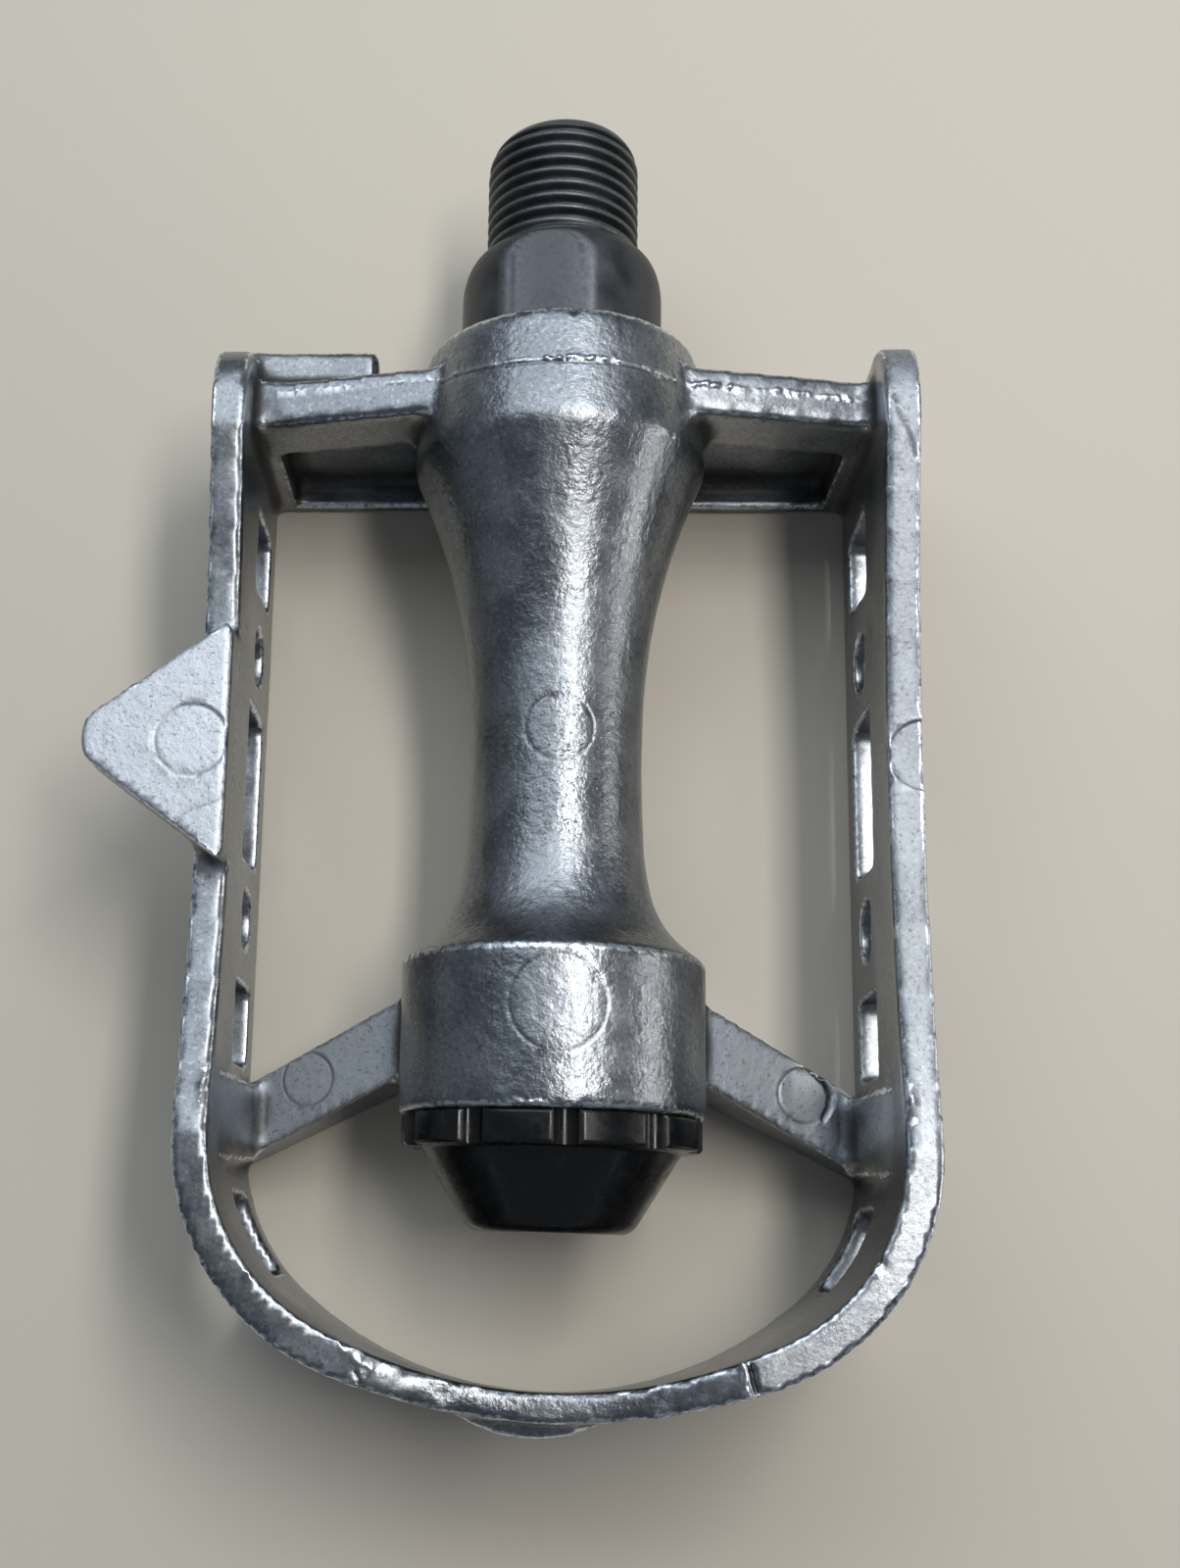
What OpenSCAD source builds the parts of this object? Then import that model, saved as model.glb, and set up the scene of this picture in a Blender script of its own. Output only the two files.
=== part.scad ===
// Road bicycle pedal with a one-piece die-cast body: spindle barrel, crossbars and cage in one casting.
// Origin on the spindle axis, at the crank face of the spindle's collar. +Y points along the spindle to the
// crank, +Z is the side turned away from the foot. Distances named "from the collar face" run outboard.

/* [Spindle] */
// Radius over the crests of the crank thread
thread_r = 7.144; // [6.3:0.001:7.4]
// Length of the crank thread
thread_len = 12.5; // [10:0.5:16]
// Length of the rounded lead at the tip of the crank thread
lead_len = 1.6; // [0.6:0.1:2.5]
// How far the rounded lead drops at the tip
lead_drop = 1.2; // [0.4:0.1:2]
// Radius of the collar
collar_r = 9.35; // [8.8:0.05:9.6]
// Length of the domed shoulder of the collar
dome_len = 3.8; // [2:0.1:5.5]
// Width of the collar across its two wrench flats
flat_af = 17; // [15:0.1:17.6]
// Turn of the wrench flats away from the top
flat_turn = 9.5; // [0:0.5:90]
// Radius of the plain shaft at its inner end
shaft_r = 5; // [4.5:0.1:5.2]
// Radius of the thread at the outer end of the shaft
tip_r = 4; // [3.6:0.05:4.3]
// Radius of the lathe centre hole in each end
centre_r = 1.6; // [0.8:0.1:2.4]

/* [Barrel] */
// Distance of the barrel's inner end from the collar face
barrel_start = 10.4; // [8:0.1:13]
// Length of the barrel
barrel_len = 69.6; // [64:0.2:80]
// Wall of the inner end around the inner cup
hub_wall = 1.25; // [1.1:0.05:1.8]
// How far the ridge behind the inner crossbar rises over the inner end
ridge_rise = 0.75; // [0.4:0.05:1.5]
// Distance of the ridge from the inner end
ridge_at = 10.6; // [9:0.1:14]
// Radius of the waist
waist_r = 7.7; // [7:0.05:9]
// Distance of the waist from the inner end
waist_at = 38; // [32:0.5:40]
// Radius of the outer end
end_r = 13.2; // [12.9:0.05:14]
// Length of the cylindrical outer end
end_len = 13.6; // [12.5:0.1:16]
// Radius of the bore through the waist
bore_r = 5.6; // [5.4:0.05:6]

/* [Cage] */
// Width of the cage over its side plates
cage_w = 62; // [58:0.5:72]
// Distance of the cage's inner ends from the collar face
cage_start = 10.9; // [8:0.1:12]
// Distance of the cage's front from the collar face
cage_front = 104.3; // [102:0.1:116]
// Height of the top edge above the spindle axis
cage_top = 10; // [8.5:0.1:12]
// Depth of the foot edge below the spindle axis
foot_drop = 16; // [15:0.1:18]
// Wall thickness of the side plates
cage_wall = 3; // [2.4:0.1:3.6]
// Wall thickness at the middle of the front
front_wall = 2.4; // [2:0.1:3]
// Radius of the two front corners
corner_r = 20; // [16:0.5:23]
// How far the front bows out past the two corners
front_bow = 1.95; // [1.2:0.05:4]
// How far the side plates lean out from the top edge to the foot edge
plate_lean = 0.6; // [0:0.05:1.2]
// How far the front leans out from the top edge to the foot edge
front_lean = 2.1; // [0:0.1:3]
// Depth of the dip in the top edge of each side plate
side_dip = 3.8; // [2:0.1:4.5]
// Length of that dip
side_dip_len = 62; // [50:1:66]
// Depth of the dip in the top edge of the front
front_dip = 1.8; // [0.5:0.1:2.5]
// Length of that dip
front_dip_len = 30; // [20:0.5:34]
// Radius of the corners at the inner ends of the side plates
plate_corner_r = 6.4; // [3:0.1:8]

/* [Piercings] */
// Distance of the middle of the pattern from the collar face
pierce_mid = 49.2; // [47:0.1:51]
// Height of the slots
slot_h = 9.5; // [7:0.1:10]
// Depth of the slots' middle below the spindle axis
slot_drop = 7.25; // [6.5:0.05:8]
// Length of the middle slot
mid_slot = 14.6; // [12:0.1:16.5]
// Length of the slots near each end
end_slot = 7.4; // [5:0.1:9]
// Spacing of the slots near each end
end_slot_gap = 45; // [43:0.1:47]
// Corner radius of the slots
slot_r = 0.9; // [0.3:0.1:3]
// Diameter of the round holes
hole_d = 5.8; // [4.5:0.1:6.5]
// Spacing of the two round holes
hole_gap = 25.5; // [24.5:0.1:27]
// Length of the slot in each front corner
corner_slot = 8; // [5:0.1:9]
// Angle around the corner to the middle of its slot
corner_slot_turn = 28.5; // [24:0.5:36]

/* [Crossbars] */
// Thickness of the inner crossbar
inner_bar_t = 4.5; // [3.5:0.1:6]
// Distance of its middle from the collar face
inner_bar_at = 15.55; // [14.5:0.05:16.5]
// Height of its top edge at the barrel
inner_bar_high = 7.2; // [5:0.1:8]
// Height of its top edge at the side plates
inner_bar_low = 3.7; // [2:0.1:4.5]
// Length of the recess in each half of its front
recess_len = 14; // [8:0.1:14.5]
// Depth of the recess's upper edge below the spindle axis, at the side plate
recess_top = 2.5; // [2:0.1:6]
// Thickness of the ledge under the recess
ledge_t = 1.8; // [1.2:0.1:4]
// Depth of that recess
recess_deep = 2.9; // [1:0.1:3]
// Width of each outer arm along the spindle
outer_arm_w = 7; // [5:0.1:9]
// Distance of the outer arm's inboard edge from the collar face, at the side plate
outer_arm_at = 77.1; // [75:0.1:78]
// How far the outer arm sweeps forward for each millimetre outwards
outer_arm_sweep = 0.5; // [0.2:0.01:0.55]
// Height of the outer arm's top beside the barrel
outer_arm_high = -1.5; // [-4:0.1:0]
// Height of its top at the side plate
outer_arm_low = -9; // [-11:0.1:-6]
// Thickness of the tapered pad that joins it to the side plate
arm_pad_t = 1.5; // [0.8:0.1:2.5]

/* [Tab and small cast features] */
// How far the flip tab reaches past the side plate
tab_reach = 9.8; // [6:0.1:14]
// Width of the tab where it leaves the side plate
tab_w = 21.6; // [16:0.1:28]
// Thickness of the tab
tab_t = 4.3; // [4:0.1:5]
// Radius of the tab's tip
tab_tip_r = 3; // [1.5:0.1:4]
// Length of the lug behind the left half of the inner crossbar
lug_len = 11; // [6:0.5:12]
// Depth of the lug along the spindle
lug_deep = 3.6; // [1:0.1:4.2]
// Height of the lug's top above the spindle axis
lug_top = 3; // [1:0.1:3.6]
// Thickness of the lug
lug_t = 3; // [2:0.1:4]
// Width of the cast boss on the outer face of the front
boss_w = 12; // [6:0.5:16]
// How far that boss stands out
boss_out = 1.6; // [0.6:0.1:2.4]
// Sideways place of that boss
boss_x = -1.3; // [-4:0.1:4]
// Height of that boss
boss_h = 12; // [8:0.5:14]
// How far its top lies below the front's top edge
boss_down = 2.5; // [1.5:0.1:4]

/* [Bearings] */
// Diameter of the bearing balls
ball_d = 3.969; // [3.4:0.001:4]
// Radius of the inner ball circle
inner_pitch_r = 8.5; // [8.4:0.05:8.6]
// Distance of the inner ball circle from the collar face
inner_race_at = 17.2; // [17:0.1:18]
// Radius of the outer ball circle
outer_pitch_r = 7.2; // [7.15:0.05:7.3]
// Distance of the outer ball circle from the barrel's outer end
outer_race_in = 8; // [7.6:0.1:8.2]
// Wall of each cup around its race
cup_ring = 0.88; // [0.7:0.02:1.2]
// Wall of each cup behind its race
cup_wall = 1.2; // [0.8:0.1:1.3]
// Running clearance between ball and race
race_gap = 0.04; // [0.02:0.01:0.08]
// Clearance of cups and seal in their seats
seat_gap = 0.02; // [0.01:0.01:0.05]
// Clearance in the threads
thread_gap = 0.05; // [0.02:0.01:0.1]

/* [Lock nut and washer] */
// Length of the outer cone
cone_len = 6.8; // [6.4:0.1:7.2]
// Radius of the outer cone's body
cone_r = 7.6; // [7.5:0.05:8]
// Thickness of the lock washer
washer_t = 1; // [0.8:0.1:1.4]
// Radius of the lock washer
washer_r = 7.2; // [6.5:0.1:7.8]
// Width of the lock nut across its flats
nut_af = 13; // [12:0.5:13.5]
// Height of the lock nut
nut_h = 4.6; // [3.5:0.1:5]
// Width of the washer's tongue
tongue_w = 1.3; // [1:0.1:1.8]
// Depth of the keyway in the shaft
key_deep = 0.7; // [0.4:0.05:0.9]

/* [Dust cap] */
// How far the cap's rim stands back from the barrel's outer end
rim_step = 0.35; // [0.1:0.05:0.6]
// Length of the rim
rim_len = 2.8; // [2.2:0.1:4]
// Number of grip notches in the rim
notches = 10; // [6:1:12]
// Radius of each notch
notch_r = 1.15; // [0.7:0.05:1.2]
// Turn of the first notch away from the top
notch_turn = 5; // [0:1:30]
// Width of the step from the rim to the cap's cone
rim_ledge = 1.65; // [1.4:0.05:2]
// Radius at the small end of the cap's cone
cap_tip_r = 7.2; // [6.8:0.1:9]
// Length of the cap's cone
cap_cone_len = 6.9; // [6.8:0.1:9]
// Wall of the cap
cap_wall = 1.3; // [1:0.1:1.4]
// Wall of the barrel around the cap's thread
mouth_wall = 1.55; // [1.4:0.05:1.8]
// Length of the cap's thread
cap_thread_len = 3.5; // [2.5:0.1:3.6]

/* [Dust seal] */
// Thickness of the rubber seal
seal_t = 2.2; // [1.5:0.1:2.4]
// Clearance around the collar
seal_gap = 0.15; // [0.1:0.05:0.3]

/* [Hidden] */
$fn = 96;

// Steps in a computed quarter arc and in a long computed curve
arc_steps = 8;
curve_steps = 16;
// Overreach of a cut past the face that it leaves through
over = 1;

ball_r = ball_d / 2;
groove_r = ball_r + race_gap;

// Radii that follow the ball circles and the barrel's outer end
inner_cup_r = inner_pitch_r + groove_r + cup_ring;
outer_cup_r = outer_pitch_r + groove_r + cup_ring;
hub_r = inner_cup_r + hub_wall;
ridge_r = hub_r + ridge_rise;
rim_r = end_r - rim_step;
cap_cone_r = rim_r - rim_ledge;
cap_thread_r = end_r - mouth_wall;

// Balls that fit round a circle, with a hair between them
ball_space = 0.02;
function ball_count(pitch_r) = floor(180 / asin((ball_d + ball_space) / (2 * pitch_r)));
inner_balls = ball_count(inner_pitch_r);
outer_balls = ball_count(outer_pitch_r);

function two_digits(i) = str(i < 10 ? "0" : "", i);

// Reach of a cup past its ball circle, and of the cone and the inner race back from theirs
cup_reach = 1.6;
cone_reach = 1.4;
race_lead = 0.5;
// Set-back of the seal from the inner cup, thread left past the nut, and clearance at the end of the cap thread
seal_back = 0.8;
thread_left = 1.6;
thread_relief = 0.6;
// Small chamfer on turned parts
chamfer = 0.3;

// Stations along the spindle, all from the collar face
barrel_end = barrel_start + barrel_len;
ridge_s = barrel_start + ridge_at;
waist_s = barrel_start + waist_at;
end_s = barrel_end - end_len;
outer_race_at = barrel_end - outer_race_in;
inner_cup_back = inner_race_at + groove_r + cup_wall;
inner_cup_front = inner_race_at - cup_reach;
outer_cup_back = outer_race_at - groove_r - cup_wall;
outer_cup_front = outer_race_at + cup_reach;
seal_s = inner_cup_front - seal_back - seal_t;
cone_start = outer_race_at - cone_reach;
washer_s = cone_start + cone_len;
nut_s = washer_s + washer_t;
spindle_end = nut_s + nut_h + thread_left;
cap_end = barrel_end + rim_len + cap_cone_len;

// Cage outline
half_w = cage_w / 2;
corner_x = half_w - corner_r;
corner_s = cage_front - front_bow - corner_r;
inner_corner_r = corner_r - cage_wall;
side_dip_s = corner_s - side_dip_len / 2;
plate_inner_x = half_w - cage_wall;
// Half width of a cut that leaves through both side plates
cut_x = half_w + plate_lean + over;
// Depth to which a bar or arm is let into the side plate
root = cage_wall / 2;

function arc(cx, cy, r, a0, a1, n) =
    [for (i = [0 : n]) let (a = a0 + (a1 - a0) * i / n) [cx + r * cos(a), cy + r * sin(a)]];

// Rounded rectangle centred on the origin
function round_rect(w, h, r) = concat(
    arc(w / 2 - r, h / 2 - r, r, 0, 90, arc_steps),
    arc(r - w / 2, h / 2 - r, r, 90, 180, arc_steps),
    arc(r - w / 2, r - h / 2, r, 180, 270, arc_steps),
    arc(w / 2 - r, r - h / 2, r, 270, 360, arc_steps));

// Plan outline of one face of the cage: straight sides, two corner arcs, and a front arc tangent to both.
// bow is how far the front stands past the corners' own depth.
function front_centre(r, bow) = (corner_x * corner_x - bow * bow) / (2 * bow);
function cage_loop(start_s, r, bow) = let (
        q = front_centre(r, bow),
        blend = atan2(q, corner_x),
        front_y = q - corner_s)
    concat(
        [[corner_x + r, -start_s]],
        arc(corner_x, -corner_s, r, 0, -blend, curve_steps),
        [for (i = [1 : curve_steps - 1]) let (a = -blend + (2 * blend - 180) * i / curve_steps)
            [(q + r + bow) * cos(a), front_y + (q + r + bow) * sin(a)]],
        arc(-corner_x, -corner_s, r, blend - 180, -180, curve_steps),
        [[-corner_x - r, -start_s]]);

// Solid between one outline at the top and another, with as many points, at the foot
module lofted(top, foot, z_top, z_foot) {
    n = len(top);
    polyhedron(
        points = concat([for (p = top) [p[0], p[1], z_top]], [for (p = foot) [p[0], p[1], z_foot]]),
        faces = concat(
            [[for (i = [0 : n - 1]) i]],
            [[for (i = [0 : n - 1]) 2 * n - 1 - i]],
            [for (i = [0 : n - 1]) let (k = (i + 1) % n) [k, i, n + i]],
            [for (i = [0 : n - 1]) let (k = (i + 1) % n) [k, n + i, n + k]]));
}

// Turns a profile drawn with its axis upwards so that upwards is outboard along the spindle
module along_spindle() {
    rotate([90, 0, 0]) children();
}

// Draws an outline in the plane of a side plate, [distance outboard, height], as a prism across X
module across(x0, x1) {
    translate([x0, 0, 0]) mirror([0, 1, 0]) rotate([90, 0, 90]) linear_extrude(x1 - x0) children();
}

// Draws an outline seen from the front, [x, height], as a prism from s0 to s1 outboard
module lengthwise(s0, s1) {
    translate([0, -s0, 0]) rotate([90, 0, 0]) linear_extrude(s1 - s0) children();
}

// Radius of the cylinder that cuts a dip of a given depth over a given chord
function dip_radius(chord, depth) = (chord * chord / 4 + depth * depth) / (2 * depth);

/* Casting */

// Place of the crossbar's recesses outwards from mid web, and how far their upper edge follows the web's slope
recess_shift = 0.3;
recess_follow = 0.85;
edge_round = 0.5;
inner_taper_power = 2.2;
outer_taper_step = 0.6;
// Share of the outer flare that rises slowly, and the power of the late steep rest
slow_share = 0.19;
steep_power = 6;

// Barrel radius from the ridge down to the waist
function inner_flare(t) = waist_r + (ridge_r - waist_r) * pow(1 - t, inner_taper_power);
// Barrel radius from the waist up to the outer end: a slow square term and a late steep one
function outer_flare(t) = waist_r + (end_r - edge_round - waist_r)
    * (slow_share * t * t + (1 - slow_share) * pow(t, steep_power));

barrel_outline = concat(
    [[0, barrel_start], [hub_r - edge_round, barrel_start], [hub_r, barrel_start + edge_round]],
    [for (i = [0 : curve_steps]) let (t = i / curve_steps)
        [inner_flare(t), ridge_s + (waist_s - ridge_s) * t]],
    [for (i = [1 : curve_steps]) let (t = pow(i / curve_steps, outer_taper_step))
        [outer_flare(t), waist_s + (end_s - waist_s) * t]],
    [[end_r, end_s + edge_round], [end_r, barrel_end - edge_round / 2],
     [end_r - edge_round / 2, barrel_end], [0, barrel_end]]);

barrel_bore = [
    [0, barrel_start - over],
    [inner_cup_r + seat_gap, barrel_start - over],
    [inner_cup_r + seat_gap, inner_cup_back],
    [bore_r, inner_cup_back],
    [bore_r, outer_cup_back],
    [outer_cup_r + seat_gap, outer_cup_back],
    [outer_cup_r + seat_gap, barrel_end - cap_thread_len - thread_relief],
    [cap_thread_r + thread_gap, barrel_end - cap_thread_len - thread_relief],
    [cap_thread_r + thread_gap, barrel_end + over],
    [0, barrel_end + over]];

// Slots and holes of one side plate, cut from outside the plate to just inside it
module plate_piercings() {
    x0 = half_w - cage_wall - over;
    x1 = cut_x;
    across(x0, x1) translate([pierce_mid, -slot_drop]) polygon(round_rect(mid_slot, slot_h, slot_r));
    for (side = [-1, 1]) {
        across(x0, x1)
            translate([pierce_mid + side * end_slot_gap / 2, -slot_drop])
                polygon(round_rect(end_slot, slot_h, slot_r));
        translate([x0, -pierce_mid + side * hole_gap / 2, -slot_drop])
            rotate([0, 90, 0]) cylinder(r = hole_d / 2, h = x1 - x0);
    }
    translate([corner_x, -corner_s, 0])
        rotate([0, 0, -corner_slot_turn])
            translate([corner_r - cage_wall - over, 0, -slot_drop])
                rotate([90, 0, 90]) linear_extrude(cage_wall + front_lean + 2 * over)
                    polygon(round_rect(corner_slot, slot_h, slot_r));
}

// Rounds the top and bottom corners at the inner ends of the side plates
module plate_end_cut() {
    r = plate_corner_r;
    across(-cut_x, cut_x) {
        polygon(concat(
            [[cage_start - over, cage_top + over], [cage_start - over, cage_top - r]],
            arc(cage_start + r, cage_top - r, r, 180, 90, arc_steps),
            [[cage_start + r, cage_top + over]]));
        polygon(concat(
            [[cage_start - over, -foot_drop - over], [cage_start - over, r / 2 - foot_drop]],
            arc(cage_start + r / 2, r / 2 - foot_drop, r / 2, 180, 270, arc_steps),
            [[cage_start + r / 2, -foot_drop - over]]));
    }
}

module cage() {
    side_r = dip_radius(side_dip_len, side_dip);
    front_r = dip_radius(front_dip_len, front_dip);
    // Share by which the cavity runs past the top and foot edges, and the extra bow of the leaning front
    past = over / (cage_top + foot_drop);
    lean_bow = front_lean - plate_lean;
    inner_bow = front_bow + cage_wall - front_wall;
    difference() {
        lofted(
            cage_loop(cage_start, corner_r, front_bow),
            cage_loop(cage_start, corner_r + plate_lean, front_bow + lean_bow), cage_top, -foot_drop);
        lofted(
            cage_loop(cage_start - over, inner_corner_r - past * plate_lean, inner_bow - past * lean_bow),
            cage_loop(cage_start - over, inner_corner_r + (1 + past) * plate_lean,
                inner_bow + (1 + past) * lean_bow),
            cage_top + over, -foot_drop - over);
        translate([-cut_x, -side_dip_s, cage_top - side_dip + side_r])
            rotate([0, 90, 0]) cylinder(r = side_r, h = 2 * cut_x);
        translate([0, -corner_s - inner_corner_r / 2, cage_top - front_dip + front_r])
            rotate([90, 0, 0]) cylinder(r = front_r, h = corner_r + front_bow + front_lean + over);
        plate_end_cut();
        plate_piercings();
        mirror([1, 0, 0]) plate_piercings();
    }
}

// Upright web across the cage behind the barrel's inner end, with a recess in each half of its front
module inner_crossbar() {
    s0 = inner_bar_at - inner_bar_t / 2;
    s1 = inner_bar_at + inner_bar_t / 2;
    x1 = plate_inner_x + root;
    hub_x = sqrt(hub_r * hub_r - inner_bar_high * inner_bar_high);
    fall = (inner_bar_high - inner_bar_low) / (plate_inner_x - hub_x);
    recess_x = (hub_x + plate_inner_x) / 2 + recess_shift;
    recess_x0 = recess_x - recess_len / 2;
    recess_x1 = recess_x + recess_len / 2;
    difference() {
        lengthwise(s0, s1) polygon([
            [-x1, -foot_drop], [x1, -foot_drop],
            [x1, inner_bar_low - root * fall], [hub_x, inner_bar_high],
            [-hub_x, inner_bar_high], [-x1, inner_bar_low - root * fall]]);
        for (side = [-1, 1])
            lengthwise(s1 - recess_deep, s1 + over) polygon([
                [side * recess_x0, ledge_t - foot_drop], [side * recess_x1, ledge_t - foot_drop],
                [side * recess_x1, -recess_top],
                [side * recess_x0, recess_len * fall * recess_follow - recess_top]]);
    }
}

// Swept arm from the barrel's outer end to the right side plate, with a sloping top
module outer_arm() {
    barrel_x = end_r + 1.2;
    x0 = end_r * 0.6;
    x1 = plate_inner_x + root;
    fall = (outer_arm_high - outer_arm_low) / (plate_inner_x - barrel_x);
    top0 = outer_arm_high + (barrel_x - x0) * fall;
    top1 = outer_arm_low - root * fall;
    s_at_plate = outer_arm_at;
    s0 = s_at_plate - (plate_inner_x - x0) * outer_arm_sweep;
    s1 = s_at_plate + root * outer_arm_sweep;
    intersection() {
        translate([0, 0, -foot_drop]) linear_extrude(foot_drop + outer_arm_high + end_r)
            polygon([[x0, -s0], [x1, -s1], [x1, -s1 - outer_arm_w], [x0, -s0 - outer_arm_w]]);
        lengthwise(s0 - over, s1 + outer_arm_w + over)
            polygon([[x0, top0], [x0, -end_r * 0.85], [end_r + 2, -foot_drop], [x1, -foot_drop], [x1, top1]]);
    }
    lengthwise(s_at_plate, s_at_plate + outer_arm_w)
        polygon([
            [plate_inner_x + root / 2, cage_top - 0.5],
            [plate_inner_x - arm_pad_t, outer_arm_low - 1],
            [plate_inner_x + root / 2, outer_arm_low - 1]]);
}

// Flat triangular tab on the left side plate, by which the shoe turns the pedal over
module flip_tab() {
    base_x = -plate_inner_x;
    tip = [tab_tip_r - half_w - tab_reach, -pierce_mid];
    run = base_x - tip[0];
    span = sqrt(run * run + tab_w * tab_w / 4);
    base_a = atan2(tab_w / 2, run);
    tangent_a = base_a + acos(tab_tip_r / span);
    translate([0, 0, cage_top - tab_t]) linear_extrude(tab_t)
        polygon(concat(
            [[base_x, tip[1] + tab_w / 2]],
            arc(tip[0], tip[1], tab_tip_r, tangent_a, 360 - tangent_a, curve_steps),
            [[base_x, tip[1] - tab_w / 2]]));
}

// Thin lug left in the corner between the left side plate and the inner crossbar
module crossbar_lug() {
    s1 = inner_bar_at;
    s0 = inner_bar_at - inner_bar_t / 2 - lug_deep;
    translate([-plate_inner_x - root, -s1, lug_top - lug_t])
        cube([lug_len + root, s1 - s0, lug_t]);
}

// Lens-shaped boss on the outer face of the front
module front_boss() {
    r = dip_radius(boss_w, boss_out);
    top = cage_top - front_dip - boss_down;
    difference() {
        translate([boss_x, r - cage_front - boss_out, top - boss_h]) cylinder(r = r, h = boss_h);
        translate([boss_x - r - over, front_wall / 2 - cage_front, top - boss_h - over])
            cube([2 * r + 2 * over, 2 * r, boss_h + 2 * over]);
    }
}

module body_casting() {
    color("lightsteelblue") difference() {
        union() {
            along_spindle() rotate_extrude() polygon(barrel_outline);
            cage();
            inner_crossbar();
            outer_arm();
            mirror([1, 0, 0]) outer_arm();
            flip_tab();
            crossbar_lug();
            front_boss();
        }
        along_spindle() rotate_extrude() polygon(barrel_bore);
    }
}

/* Spindle */

face_r = thread_r + 0.35;
flat_start = 0.5;
race_root_in = inner_pitch_r - groove_r;
tip_thread_s = cone_start - 3;

spindle_outline = concat(
    [[0, centre_r - thread_len], [centre_r, -thread_len]],
    [for (i = [0 : arc_steps]) let (a = 90 * i / arc_steps)
        [thread_r - lead_drop * (1 - sin(a)), lead_len * (1 - cos(a)) - thread_len]],
    [[thread_r, 0]],
    [for (i = [0 : arc_steps]) let (a = 90 * i / arc_steps)
        [face_r + (collar_r - face_r) * sin(a), dome_len * (1 - cos(a))]],
    [[collar_r, inner_race_at - groove_r - race_lead],
     [collar_r - race_lead, inner_race_at - groove_r], [inner_pitch_r, inner_race_at - groove_r]],
    [for (i = [1 : arc_steps]) let (a = 90 * i / arc_steps)
        [inner_pitch_r - groove_r * sin(a), inner_race_at - groove_r * cos(a)]],
    [[race_root_in, inner_race_at + 2 * chamfer], [shaft_r, inner_race_at + 8 * chamfer],
     [tip_r + chamfer, tip_thread_s], [tip_r, tip_thread_s + chamfer],
     [tip_r, spindle_end - chamfer], [tip_r - chamfer, spindle_end],
     [centre_r, spindle_end], [0, spindle_end - centre_r]]);

module spindle() {
    flat_len = barrel_start - flat_start - chamfer;
    color("dimgray") difference() {
        along_spindle() rotate_extrude() polygon(spindle_outline);
        for (side = [0, 180])
            rotate([0, side - flat_turn, 0])
                translate([-collar_r, -flat_start - flat_len, flat_af / 2])
                    cube([2 * collar_r, flat_len, collar_r]);
        translate([-tongue_w / 2, -spindle_end - over, tip_r - key_deep])
            cube([tongue_w, spindle_end + over - cone_start + 0.4, tip_r]);
    }
}

/* Bearings */

// One pressed race ring: outside radius r, race centred on the ball circle, mouth towards the open end.
// Drawn with its back at the top; the inner one opens to the crank and the outer one away from it.
module cup(r, pitch_r, mouth, floor_r) {
    rotate_extrude() polygon(concat(
        [[pitch_r + groove_r, -mouth]],
        arc(pitch_r, 0, groove_r, 0, 90, arc_steps),
        [[floor_r, groove_r], [floor_r, groove_r + cup_wall], [r, groove_r + cup_wall], [r, -mouth]]));
}

module inner_cup() {
    color("silver") along_spindle() translate([0, 0, inner_race_at])
        cup(inner_cup_r, inner_pitch_r, inner_race_at - inner_cup_front, race_root_in + 0.45);
}

module outer_cup() {
    color("silver") along_spindle() translate([0, 0, outer_race_at]) mirror([0, 0, 1])
        cup(outer_cup_r, outer_pitch_r, outer_cup_front - outer_race_at, outer_pitch_r - groove_r + 0.4);
}

module ball(pitch_r, s, i, count) {
    color("whitesmoke")
        rotate([0, 360 * (i - 1) / count, 0]) translate([pitch_r, -s, 0]) sphere(r = ball_r);
}

module outer_cone() {
    bore = tip_r + thread_gap;
    root_r = outer_pitch_r - groove_r;
    color("silver") along_spindle() rotate_extrude() polygon(concat(
        [[bore, cone_start], [root_r, cone_start]],
        [for (i = [0 : arc_steps]) let (a = 90 * i / arc_steps)
            [outer_pitch_r - groove_r * cos(a), outer_race_at + groove_r * sin(a)]],
        [[cone_r - 0.2, outer_race_at + groove_r], [cone_r, outer_race_at + groove_r + 0.4],
         [cone_r, washer_s - 0.4], [cone_r - 0.4, washer_s], [bore, washer_s]]));
}

module lock_washer() {
    side_gap = 0.1;
    color("gray") {
        difference() {
            translate([0, -washer_s, 0]) rotate([90, 0, 0]) cylinder(r = washer_r, h = washer_t);
            difference() {
                translate([0, over - washer_s, 0])
                    rotate([90, 0, 0]) cylinder(r = tip_r + thread_gap, h = washer_t + 2 * over);
                translate([side_gap - tongue_w / 2, -nut_s - 2 * over, tip_r - key_deep + side_gap])
                    cube([tongue_w - 2 * side_gap, washer_t + 4 * over, tip_r]);
            }
        }
    }
}

module lock_nut() {
    corner = nut_af / 2 / cos(30);
    chamfer = corner - nut_af / 2;
    color("gray") difference() {
        intersection() {
            translate([0, -nut_s, 0]) rotate([90, 0, 0]) cylinder(r = corner, h = nut_h, $fn = 6);
            along_spindle() rotate_extrude() polygon([
                [0, nut_s - over], [corner + over, nut_s - over],
                [corner + over, nut_s + nut_h - chamfer * 0.6 - over * 0.6],
                [nut_af / 2, nut_s + nut_h], [0, nut_s + nut_h]]);
        }
        translate([0, over - nut_s, 0])
            rotate([90, 0, 0]) cylinder(r = tip_r + thread_gap, h = nut_h + 2 * over);
    }
}

module dust_seal() {
    bore = collar_r + seal_gap;
    rim = 0.5;
    color("#262626") along_spindle() rotate_extrude() polygon([
        [bore, seal_s], [inner_cup_r - rim, seal_s], [inner_cup_r, seal_s + rim],
        [inner_cup_r, seal_s + seal_t], [bore + 0.6, seal_s + seal_t], [bore, seal_s + seal_t - 0.6]]);
}

/* Dust cap */

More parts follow.
